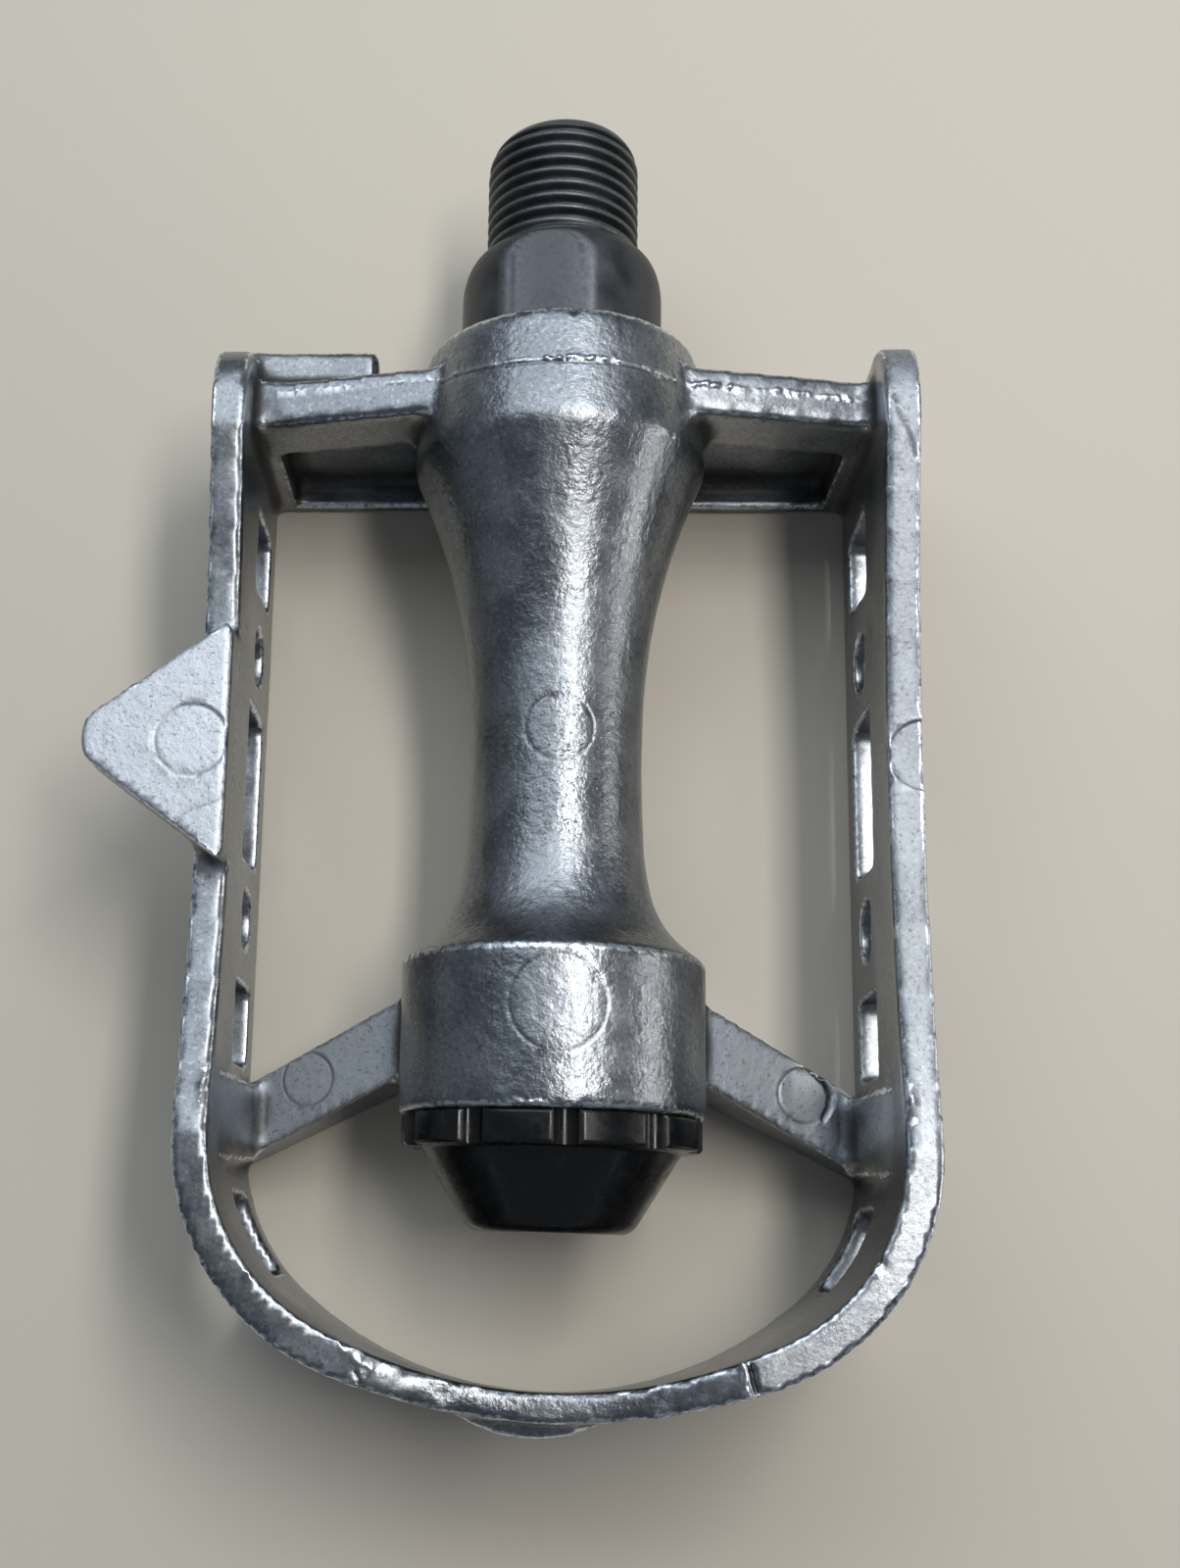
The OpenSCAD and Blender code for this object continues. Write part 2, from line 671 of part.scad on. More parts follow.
cap_slope = (cap_cone_r - cap_tip_r) / cap_cone_len;
cap_round = 0.8;

cap_outline = concat(
    [[cap_thread_r - cap_wall, barrel_end - cap_thread_len], [cap_thread_r, barrel_end - cap_thread_len],
     [cap_thread_r, barrel_end], [rim_r - 0.25, barrel_end], [rim_r, barrel_end + 0.25],
     [rim_r, barrel_end + rim_len - 0.25], [rim_r - 0.25, barrel_end + rim_len],
     [cap_cone_r, barrel_end + rim_len],
     [cap_tip_r + cap_round * cap_slope, cap_end - cap_round],
     [cap_tip_r - cap_round * 0.35, cap_end - cap_round * 0.25], [cap_tip_r - cap_round, cap_end],
     [0, cap_end], [0, cap_end - cap_wall],
     [cap_tip_r - cap_wall, cap_end - cap_wall],
     [cap_cone_r - cap_wall, barrel_end + rim_len],
     [cap_thread_r - cap_wall, barrel_end + rim_len - 1]]);

module dust_cap() {
    color("#161616") difference() {
        along_spindle() rotate_extrude() polygon(cap_outline);
        for (i = [0 : notches - 1])
            rotate([0, notch_turn + 360 * i / notches, 0])
                translate([0, over - barrel_end, rim_r])
                    rotate([90, 0, 0]) cylinder(r = notch_r, h = rim_len + 2 * over, $fn = 32);
    }
}

body_casting();
spindle();
dust_seal();
inner_cup();
outer_cup();
outer_cone();
lock_washer();
lock_nut();
dust_cap();
for (i = [1 : inner_balls])
    ball(inner_pitch_r, inner_race_at, i, inner_balls);
for (i = [1 : outer_balls])
    ball(outer_pitch_r, outer_race_at, i, outer_balls);
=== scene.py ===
"""A left-hand road bicycle pedal with a die-cast body: the finished surfaces and a plain studio, built around the
CAD frame of spindle, pedal body and ball rows.

Lengths are in millimetres where they are typed, and in metres in Blender. The pedal's spindle lies along Y with
the crank at +Y, and +Z is the side that lies away from the shoe.
"""

import math

import bmesh
import bpy
import numpy as np
from mathutils import Euler, Matrix, Vector
from mathutils.bvhtree import BVHTree
from mathutils.kdtree import KDTree


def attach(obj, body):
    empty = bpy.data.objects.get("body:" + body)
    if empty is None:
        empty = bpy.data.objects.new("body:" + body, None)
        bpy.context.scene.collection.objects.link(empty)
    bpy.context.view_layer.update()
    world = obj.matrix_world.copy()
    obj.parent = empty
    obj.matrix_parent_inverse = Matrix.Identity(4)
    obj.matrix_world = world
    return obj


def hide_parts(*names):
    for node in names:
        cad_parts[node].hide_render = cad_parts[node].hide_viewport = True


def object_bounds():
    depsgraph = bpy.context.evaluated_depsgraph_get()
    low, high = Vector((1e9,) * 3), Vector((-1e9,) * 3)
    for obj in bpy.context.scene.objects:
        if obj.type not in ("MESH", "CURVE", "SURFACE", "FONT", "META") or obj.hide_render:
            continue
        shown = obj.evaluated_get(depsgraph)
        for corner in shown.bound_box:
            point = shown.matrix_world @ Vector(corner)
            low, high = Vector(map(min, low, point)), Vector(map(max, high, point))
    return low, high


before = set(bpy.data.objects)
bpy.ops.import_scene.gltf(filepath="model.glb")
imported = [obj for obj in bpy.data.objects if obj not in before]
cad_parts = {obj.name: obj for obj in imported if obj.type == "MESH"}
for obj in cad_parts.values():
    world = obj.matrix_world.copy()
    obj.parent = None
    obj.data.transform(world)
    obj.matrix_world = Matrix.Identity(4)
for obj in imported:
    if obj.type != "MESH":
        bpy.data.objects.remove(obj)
cad_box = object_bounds()

bl_info = {
    "name": "Cast Road Pedal",
    "version": (1, 0, 0),
    "blender": (4, 5, 0),
    "location": "3D View > Sidebar > Pedal",
    "description": "Builds the finished surfaces of a die-cast road bicycle pedal around its CAD frame",
    "category": "Object",
}

MM = 0.001

BODY = "pedal_body"
SPINDLE = "spindle"


# ---------------------------------------------------------------- meshes


def new_object(name, vertices, faces, smooth=True):
    """An object at the origin from vertices in millimetres and faces of any size, with its normals outward."""
    mesh = bpy.data.meshes.new(name)
    mesh.from_pydata((np.asarray(vertices) * MM).tolist(), [], faces)
    mesh.validate()
    bm = bmesh.new()
    bm.from_mesh(mesh)
    bmesh.ops.recalc_face_normals(bm, faces=bm.faces)
    bm.to_mesh(mesh)
    bm.free()
    mesh.polygons.foreach_set("use_smooth", np.full(len(mesh.polygons), smooth))
    mesh.update()
    obj = bpy.data.objects.new(name, mesh)
    bpy.context.scene.collection.objects.link(obj)
    return obj


def lathe_faces(rows, columns):
    """Quads of a rows by columns ring grid, with a fan to one pole before the first row and one after the last."""
    i, j = np.meshgrid(np.arange(rows - 1), np.arange(columns), indexing="ij")
    nxt = (j + 1) % columns
    quads = np.stack([i * columns + j, i * columns + nxt, (i + 1) * columns + nxt, (i + 1) * columns + j], -1)
    first, last = rows * columns, rows * columns + 1
    k = np.arange(columns)
    k2 = (k + 1) % columns
    top = np.stack([np.full(columns, first), k2, k], -1)
    base = (rows - 1) * columns
    bottom = np.stack([np.full(columns, last), base + k, base + k2], -1)
    return quads.reshape(-1, 4).tolist() + top.tolist() + bottom.tolist()


def lathe(name, radius, station, theta, first_pole, last_pole):
    """The surface x = r sin t, y = -s, z = r cos t over arrays radius[row, column] and station[row, column],
    closed at both ends by poles on the axis."""
    x = radius * np.sin(theta)
    z = radius * np.cos(theta)
    grid = np.stack([x, -station, z], -1).reshape(-1, 3)
    poles = np.array([[0.0, -first_pole, 0.0], [0.0, -last_pole, 0.0]])
    rows, columns = radius.shape
    return new_object(name, np.concatenate([grid, poles]), lathe_faces(rows, columns))


# The largest share of a side that one fillet takes
MAX_FILLET = 0.45


def rounded_path(points, radii, steps=4):
    """Polyline [radius, station] with each inner corner replaced by a parabola that starts and ends its own fillet
    distance from the corner: with t from 0 to 1, (1 - t) squared of its start, 2 t (1 - t) of the corner and t
    squared of its end."""
    out = [np.array(points[0], float)]
    for a, b, c, r in zip(points[:-2], points[1:-1], points[2:], radii):
        a, b, c = (np.array(p, float) for p in (a, b, c))
        before, after = a - b, c - b
        reach = min(r, np.linalg.norm(before) * MAX_FILLET, np.linalg.norm(after) * MAX_FILLET)
        if reach <= 0:
            out.append(b)
            continue
        p0 = b + before / np.linalg.norm(before) * reach
        p1 = b + after / np.linalg.norm(after) * reach
        for k in range(steps + 1):
            t = k / steps
            out.append((1 - t) ** 2 * p0 + 2 * t * (1 - t) * b + t * t * p1)
    out.append(np.array(points[-1], float))
    return np.array(out)


# Large odd numbers that scatter a lattice corner's three indices and the seed over all bits
HASH_X, HASH_Y, HASH_Z, HASH_SEED, HASH_MIX = 73856093, 19349663, 83492791, 2654435, 1274126177
# How far each seed moves the lattice, in cells
SEED_SHIFT = 17.31


def hash_noise(p, scale, seed):
    """Smooth value noise in -1..1 at points p in millimetres: fixed scattered values on a lattice with cells of the
    given size, blended by a smooth cubic between the eight corners of each cell."""
    q = p / scale + seed * SEED_SHIFT
    i = np.floor(q).astype(np.int64)
    f = q - i
    f = f * f * (3 - 2 * f)
    total = np.zeros(len(p))
    for dx in (0, 1):
        for dy in (0, 1):
            for dz in (0, 1):
                c = i + np.array([dx, dy, dz])
                h = (c[:, 0] * HASH_X) ^ (c[:, 1] * HASH_Y) ^ (c[:, 2] * HASH_Z) ^ (seed * HASH_SEED)
                h = (h ^ (h >> 13)) * HASH_MIX
                value = ((h ^ (h >> 16)) & 0xFFFF) / 32767.5 - 1
                wx = f[:, 0] if dx else 1 - f[:, 0]
                wy = f[:, 1] if dy else 1 - f[:, 1]
                wz = f[:, 2] if dz else 1 - f[:, 2]
                total += value * wx * wy * wz
    return total


# ---------------------------------------------------------------- materials


class Nodes:
    """A material's node tree, with short calls that each add a node, set or link its inputs and return its output."""

    def __init__(self, name):
        self.material = bpy.data.materials.new(name)
        self.material.use_nodes = True
        self.tree = self.material.node_tree
        self.tree.nodes.clear()

    def add(self, kind, inputs=None, **settings):
        node = self.tree.nodes.new(kind)
        for key, value in settings.items():
            setattr(node, key, value)
        for key, value in (inputs or {}).items():
            if isinstance(value, bpy.types.NodeSocket):
                self.tree.links.new(value, node.inputs[key])
            else:
                node.inputs[key].default_value = value
        return node

    def noise(self, coords, scale, detail, roughness):
        inputs = {"Vector": coords, "Scale": scale, "Detail": detail, "Roughness": roughness}
        return self.add("ShaderNodeTexNoise", inputs).outputs["Fac"]

    def remap(self, value, low, high, to_low=0.0, to_high=1.0):
        """Value from low..high to to_low..to_high along a smooth step, held outside."""
        return self.add(
            "ShaderNodeMapRange",
            {"Value": value, "From Min": low, "From Max": high, "To Min": to_low, "To Max": to_high},
            clamp=True,
            interpolation_type="SMOOTHSTEP",
        ).outputs["Result"]

    def maths(self, operation, a, b, clamp=False):
        return self.add("ShaderNodeMath", {0: a, 1: b}, operation=operation, use_clamp=clamp).outputs[0]

    def mix(self, factor, a, b):
        """A colour between colours a and b, whose sockets on the node are 6 and 7."""
        return self.add("ShaderNodeMix", {0: factor, 6: a, 7: b}, data_type="RGBA").outputs[2]

    def mix_value(self, factor, a, b):
        """A number between a and b, whose sockets on the node are 2 and 3."""
        return self.add("ShaderNodeMix", {0: factor, 2: a, 3: b}, data_type="FLOAT").outputs[0]

    def bump(self, height, distance, strength=1.0, normal=None):
        inputs = {"Height": height, "Distance": distance, "Strength": strength}
        if normal is not None:
            inputs["Normal"] = normal
        return self.add("ShaderNodeBump", inputs).outputs["Normal"]

    def attribute(self, name):
        return self.add("ShaderNodeAttribute", attribute_name=name).outputs["Fac"]

    def coords(self):
        return self.add("ShaderNodeTexCoord").outputs["Object"]

    def finish(self, **inputs):
        """Ends the tree in a Principled shader, with an underscore in a name for each space in the socket's."""
        shader = self.add("ShaderNodeBsdfPrincipled", {k.replace("_", " "): v for k, v in inputs.items()})
        self.add("ShaderNodeOutputMaterial", {"Surface": shader.outputs[0]})
        return self.material


def grey(value, tint=(1.0, 1.0, 1.0)):
    """A colour of one brightness with a slight tint."""
    return (value * tint[0], value * tint[1], value * tint[2], 1.0)


COOL = (0.95, 1.0, 1.06)
WARM = (1.1, 1.0, 0.86)


def cast_aluminium():
    """Tumbled die-cast aluminium: blue-grey, finely hammered and speckled, with painted shade in the hollows and in
    the grooves and creases of the marks, lighter along the edges from wear and a painted highlight, painted
    highlights on flash, lips and dent rims, small pits about the barrel's waist, and paler on upward faces where the
    skin of the casting was left, partly the skin's own tone and partly a painted lit top."""
    n = Nodes("cast_aluminium")
    at = n.coords()
    hollow_shade = n.attribute("hollow_shade")
    groove_shade = n.attribute("groove_shade")
    pit_zone = n.attribute("pitted")
    cast_skin_and_lit_top = n.attribute("cast_skin_and_lit_top")
    fine = n.noise(at, 1500, 3, 0.65)
    ragged = n.maths("ADD", n.attribute("ridge"), n.remap(fine, 0.3, 0.75, -0.14, 0.3))
    # Lighter edges are wear and a painted highlight together; flash, lips and dent rims add a painted highlight
    wear = n.maths("ADD", n.remap(ragged, 0.24, 0.04), n.attribute("painted_glint"), clamp=True)
    blotch = n.noise(at, 160, 4, 0.6)
    cloud = n.noise(at, 45, 3, 0.55)
    speckle = n.noise(at, 2600, 2, 0.7)
    hammer = n.noise(at, 1050, 4, 0.62)
    colour = n.mix(n.remap(blotch, 0.36, 0.66), grey(0.25, COOL), grey(0.36, COOL))
    colour = n.mix(n.remap(cloud, 0.45, 0.7, 0.0, 0.4), colour, grey(0.42, COOL))
    # Paler cast skin on upward faces, partly its own tone and partly a painted lit top
    colour = n.mix(n.maths("MULTIPLY", cast_skin_and_lit_top, 0.85), colour, grey(0.80, COOL))
    colour = n.mix(n.remap(speckle, 0.54, 0.72, 0.0, 0.5), colour, grey(0.62, COOL))
    colour = n.mix(n.remap(speckle, 0.44, 0.3, 0.0, 0.5), colour, grey(0.09, COOL))
    pits = n.noise(at, 2600, 3, 0.75)
    pit = n.maths("MULTIPLY", n.remap(pits, 0.58, 0.68), pit_zone)
    colour = n.mix(n.maths("MULTIPLY", pit, 0.8), colour, grey(0.05, WARM))
    # Painted shade in the hollows and along the inward edges
    colour = n.mix(n.maths("MULTIPLY", hollow_shade, 0.8), colour, grey(0.05, WARM))
    colour = n.mix(wear, colour, grey(0.80, COOL))
    # Painted shade in the pin mark grooves and sunken creases
    colour = n.mix(groove_shade, colour, grey(0.07, COOL))
    rough = n.mix_value(n.remap(blotch, 0.35, 0.65), 0.28, 0.40)
    rough = n.mix_value(n.remap(cast_skin_and_lit_top, 0.0, 0.22), rough, 0.58)
    rough = n.mix_value(wear, rough, 0.32)
    rough = n.mix_value(hollow_shade, rough, 0.6)
    normal = n.bump(hammer, 0.00013, n.attribute("hammered"))
    normal = n.bump(n.maths("SUBTRACT", 1.0, pit), 0.00005, 0.6, normal)
    return n.finish(Base_Color=colour, Metallic=1.0, Roughness=rough, Normal=normal)


def black_steel():
    """Black oxide on turned and rolled steel: nearly black, rubbed to grey metal on crests and edges."""
    n = Nodes("black_steel")
    at = n.coords()
    wear = n.attribute("wear")
    cloud = n.noise(at, 260, 4, 0.6)
    fine = n.noise(at, 2400, 2, 0.6)
    colour = n.mix(n.remap(cloud, 0.35, 0.7), grey(0.065, COOL), grey(0.11, COOL))
    rub = n.maths("MULTIPLY", wear, n.remap(fine, 0.3, 0.6, 0.5, 1.0), clamp=True)
    colour = n.mix(rub, colour, grey(0.20, COOL))
    rough = n.mix_value(n.remap(cloud, 0.3, 0.7), 0.42, 0.56)
    normal = n.bump(fine, 0.00002, 0.6)
    return n.finish(Base_Color=colour, Metallic=0.9, Roughness=rough, Normal=normal)


def black_plastic():
    """Moulded black plastic with a gloss skin, faint scuffs and a little dust."""
    n = Nodes("black_plastic")
    at = n.coords()
    wear = n.attribute("wear")
    scuff = n.noise(at, 700, 3, 0.6)
    colour = n.mix(n.remap(scuff, 0.55, 0.75, 0.0, 0.25), grey(0.004), grey(0.02))
    colour = n.mix(n.maths("MULTIPLY", wear, 0.3), colour, grey(0.12))
    rough = n.remap(scuff, 0.3, 0.7, 0.18, 0.34)
    normal = n.bump(n.noise(at, 900, 2, 0.5), 0.00002, 0.4)
    return n.finish(Base_Color=colour, Metallic=0.0, Roughness=rough, Normal=normal)


def ground_steel():
    """Hardened race steel, ground round the axis and lightly oiled."""
    n = Nodes("bearing_steel")
    at = n.coords()
    stretched = n.add("ShaderNodeMapping", {"Vector": at, "Scale": (300.0, 4000.0, 300.0)}).outputs[0]
    lines = n.noise(stretched, 1.0, 2, 0.5)
    colour = n.mix(lines, grey(0.42), grey(0.58))
    return n.finish(
        Base_Color=colour, Metallic=1.0, Roughness=n.remap(lines, 0.3, 0.7, 0.2, 0.34),
        Normal=n.bump(lines, 0.00001, 0.5),
    )


def polished_ball():
    """Polished chrome steel with a thin, uneven film of grease."""
    n = Nodes("ball_steel")
    at = n.coords()
    film = n.noise(at, 500, 3, 0.5)
    colour = n.mix(n.remap(film, 0.5, 0.75, 0.0, 0.6), grey(0.75), grey(0.4, WARM))
    return n.finish(Base_Color=colour, Metallic=1.0, Roughness=n.remap(film, 0.4, 0.75, 0.06, 0.25))


def zinc_plate():
    """Dull zinc plating with a faint spangle."""
    n = Nodes("plated_steel")
    at = n.coords()
    spangle = n.add("ShaderNodeTexVoronoi", {"Vector": at, "Scale": 900.0}).outputs["Color"]
    tone = n.add("ShaderNodeSeparateColor", {"Color": spangle}).outputs[0]
    colour = n.mix(tone, grey(0.52), grey(0.66, COOL))
    return n.finish(Base_Color=colour, Metallic=1.0, Roughness=n.remap(tone, 0.0, 1.0, 0.3, 0.42))


def seal_rubber():
    """Matt black rubber with dust in its grain."""
    n = Nodes("seal_rubber")
    at = n.coords()
    grain = n.noise(at, 2500, 3, 0.6)
    colour = n.mix(n.remap(grain, 0.45, 0.7, 0.0, 0.5), grey(0.02), grey(0.06, WARM))
    return n.finish(Base_Color=colour, Roughness=0.75, Normal=n.bump(grain, 0.00003, 0.5))


def paint(obj, material):
    """Gives obj one material."""
    obj.data.materials.clear()
    obj.data.materials.append(material)


# ---------------------------------------------------------------- casting


def vertex_neighbours(mesh):
    """Edge ends of a mesh as one integer array, and the number of edges at each vertex."""
    edges = np.empty(len(mesh.edges) * 2, np.int64)
    mesh.edges.foreach_get("vertices", edges)
    edges = edges.reshape(-1, 2)
    count = np.bincount(edges.ravel(), minlength=len(mesh.vertices)).astype(float)
    return edges, np.maximum(count, 1)


def average_over(values, edges, count):
    """Mean of each vertex's neighbours, for scalars or vectors."""
    out = np.zeros_like(values)
    if values.ndim == 1:
        out += np.bincount(edges[:, 0], values[edges[:, 1]], len(values))
        out += np.bincount(edges[:, 1], values[edges[:, 0]], len(values))
        return out / count
    for k in range(values.shape[1]):
        out[:, k] += np.bincount(edges[:, 0], values[edges[:, 1], k], len(values))
        out[:, k] += np.bincount(edges[:, 1], values[edges[:, 0], k], len(values))
    return out / count[:, None]


def positions(mesh):
    """Vertex positions in millimetres."""
    p = np.empty(len(mesh.vertices) * 3)
    mesh.vertices.foreach_get("co", p)
    return p.reshape(-1, 3) / MM


def normals(mesh):
    """Vertex normals."""
    v = np.empty(len(mesh.vertices) * 3)
    mesh.vertex_normals.foreach_get("vector", v)
    return v.reshape(-1, 3)


def set_positions(mesh, p):
    """Puts the vertices at points p in millimetres."""
    mesh.vertices.foreach_set("co", (p * MM).ravel())
    mesh.update()


def set_attribute(mesh, name, values):
    """Stores one number per vertex for the material to read."""
    layer = mesh.attributes.new(name, "FLOAT", "POINT")
    layer.data.foreach_set("value", np.asarray(values, np.float32))


def smooth_step(x, low, high):
    """0 below low, 1 above high, and between them 3 t squared less 2 t cubed, with t the share of the way."""
    t = np.clip((x - low) / (high - low), 0, 1)
    return t * t * (3 - 2 * t)


# The least turn of the surface at a sharp edge, and the spacing in millimetres of the points taken along it
SHARP_TURN = math.radians(35)
EDGE_SPACING = 0.06
# A vertex goes onto an edge that lies nearer than this share of a cell
SNAP = 0.74
# Distances from edges are kept up to this many millimetres
EDGE_REACH = 3.0


def edge_points(bm, convex):
    """A search tree of points close together along the edges where the surface turns sharply outward (convex) or
    inward."""
    points = []
    for edge in bm.edges:
        if len(edge.link_faces) != 2:
            continue
        turn = edge.calc_face_angle_signed(0.0)
        if (turn if convex else -turn) < SHARP_TURN:
            continue
        a, b = (np.array(v.co) for v in edge.verts)
        steps = max(2, int(np.linalg.norm(b - a) / (EDGE_SPACING * MM)) + 1)
        points.append(a + (b - a) * np.linspace(0, 1, steps)[:, None])
    points = np.concatenate(points)
    tree = KDTree(len(points))
    for index, point in enumerate(points):
        tree.insert(point, index)
    tree.balance()
    return tree


def casting_skin(node, voxel):
    """The cast body's mesh rebuilt with even cells of the given size in millimetres, each vertex laid back on the
    exact surface, or on a sharp edge where one is near, with its distance from the outward and inward edges."""
    mesh = node.data.copy()
    mesh.name = "casting_source"
    bm = bmesh.new()
    bm.from_mesh(mesh)
    bmesh.ops.remove_doubles(bm, verts=bm.verts, dist=1e-6)
    bm.to_mesh(mesh)
    source = bpy.data.objects.new("casting_source", mesh)
    bpy.context.scene.collection.objects.link(source)
    remesh = source.modifiers.new("even", "REMESH")
    remesh.mode = "VOXEL"
    remesh.voxel_size = voxel * MM
    bpy.context.view_layer.update()
    graph = bpy.context.evaluated_depsgraph_get()
    built = bpy.data.meshes.new_from_object(source.evaluated_get(graph))
    built.name = "casting_skin"
    bpy.data.objects.remove(source)
    surface = BVHTree.FromBMesh(bm)
    outward, inward = edge_points(bm, True), edge_points(bm, False)
    bm.free()
    p = positions(built)
    laid = np.empty_like(p)
    ridge = np.empty(len(p))
    seam = np.empty(len(p))
    for i, point in enumerate(p * MM):
        edge, _, away = outward.find(point)
        hollow, _, inside = inward.find(point)
        if min(away, inside) < SNAP * voxel * MM:
            laid[i] = edge if away < inside else hollow
        else:
            laid[i] = surface.find_nearest(Vector(point))[0]
        ridge[i] = (Vector(laid[i]) - edge).length
        seam[i] = (Vector(laid[i]) - hollow).length
    set_positions(built, laid / MM)
    set_attribute(built, "ridge", np.minimum(ridge / MM, EDGE_REACH))
    set_attribute(built, "seam", np.minimum(seam / MM, EDGE_REACH))
    skin = bpy.data.objects.new("casting_skin", built)
    bpy.context.scene.collection.objects.link(skin)
    return skin


# Rounds of smoothing over the laid skin, how far each moves a vertex, and the share of that taken back
RELAX_ROUNDS = 9
RELAX_AMOUNT = 0.5
RELAX_BACK = 0.8


def relax(mesh):
    """Moves each vertex part of the way to the mean of its neighbours, and most of that back, so that edges turn
    round and thin walls keep their size."""
    edges, count = vertex_neighbours(mesh)
    p = positions(mesh)
    for _ in range(RELAX_ROUNDS):
        p = p + RELAX_AMOUNT * (average_over(p, edges, count) - p)
        p = p - RELAX_AMOUNT * RELAX_BACK * (average_over(p, edges, count) - p)
    set_positions(mesh, p)


def read_attribute(mesh, name):
    """The numbers that set_attribute stored."""
    values = np.empty(len(mesh.vertices), np.float32)
    mesh.attributes[name].data.foreach_get("value", values)
    return values.astype(float)


# Rounds of averaging that spread over a few millimetres, and the depths in millimetres between which a hollow
# goes from no painted shade to full painted shade
HOLLOW_ROUNDS = 14
HOLLOW_UNSHADED, HOLLOW_SHADED = 0.0682, 0.4545
# Painted shade in an inward edge, and how many millimetres it reaches
SEAM_SHADE, SEAM_REACH = 0.6, 0.7


def set_hollow_shade(mesh):
    """Painted shade is high where the surface is hollow, which is how far the mean of its wide neighbourhood lies out
    along the normal, and close along inward edges."""
    edges, count = vertex_neighbours(mesh)
    p = positions(mesh)
    wide = p.copy()
    for _ in range(HOLLOW_ROUNDS):
        wide = average_over(wide, edges, count)
    hollow = np.einsum("ij,ij->i", wide - p, normals(mesh))
    hollow_shade = smooth_step(hollow, HOLLOW_UNSHADED, HOLLOW_SHADED)
    seam = SEAM_SHADE * (1 - smooth_step(read_attribute(mesh, "seam"), 0.0, SEAM_REACH))
    set_attribute(mesh, "hollow_shade", np.maximum(hollow_shade, seam))


# Ejector pin marks in plan: x, y, radius, depth of the groove round it, how far its disc lies below the surface at
# the middle, and how much deeper it lies towards +x and +y, all in millimetres
RINGS = (
    (0.3, -71.6, 3.92, 0.05, 0.0, 0.02, 0.01),
    (0.2, -47.2, 2.95, 0.06, 0.02, 0.0, 0.0),
    (-31.1, -49.4, 3.12, 0.14, 0.03, 0.05, 0.05),
    (31.2, -49.0, 3.0, 0.16, 0.10, 0.0, 0.05),
    (-21.9, -76.7, 2.4, 0.06, 0.02, 0.03, 0.0),
    (22.5, -77.1, 2.45, 0.10, 0.09, 0.20, 0.10),
)


def around(radius, *stops):
    """A path round the barrel through (degrees from the top, millimetres outboard) stops, in steps of 2 degrees."""
    degrees, station = np.array(stops, float).T
    turn = np.append(np.arange(degrees[0], degrees[-1], 2.0), degrees[-1])
    angle = np.radians(turn)
    return np.stack([radius * np.sin(angle), -np.interp(turn, degrees, station), radius * np.cos(angle)], -1)


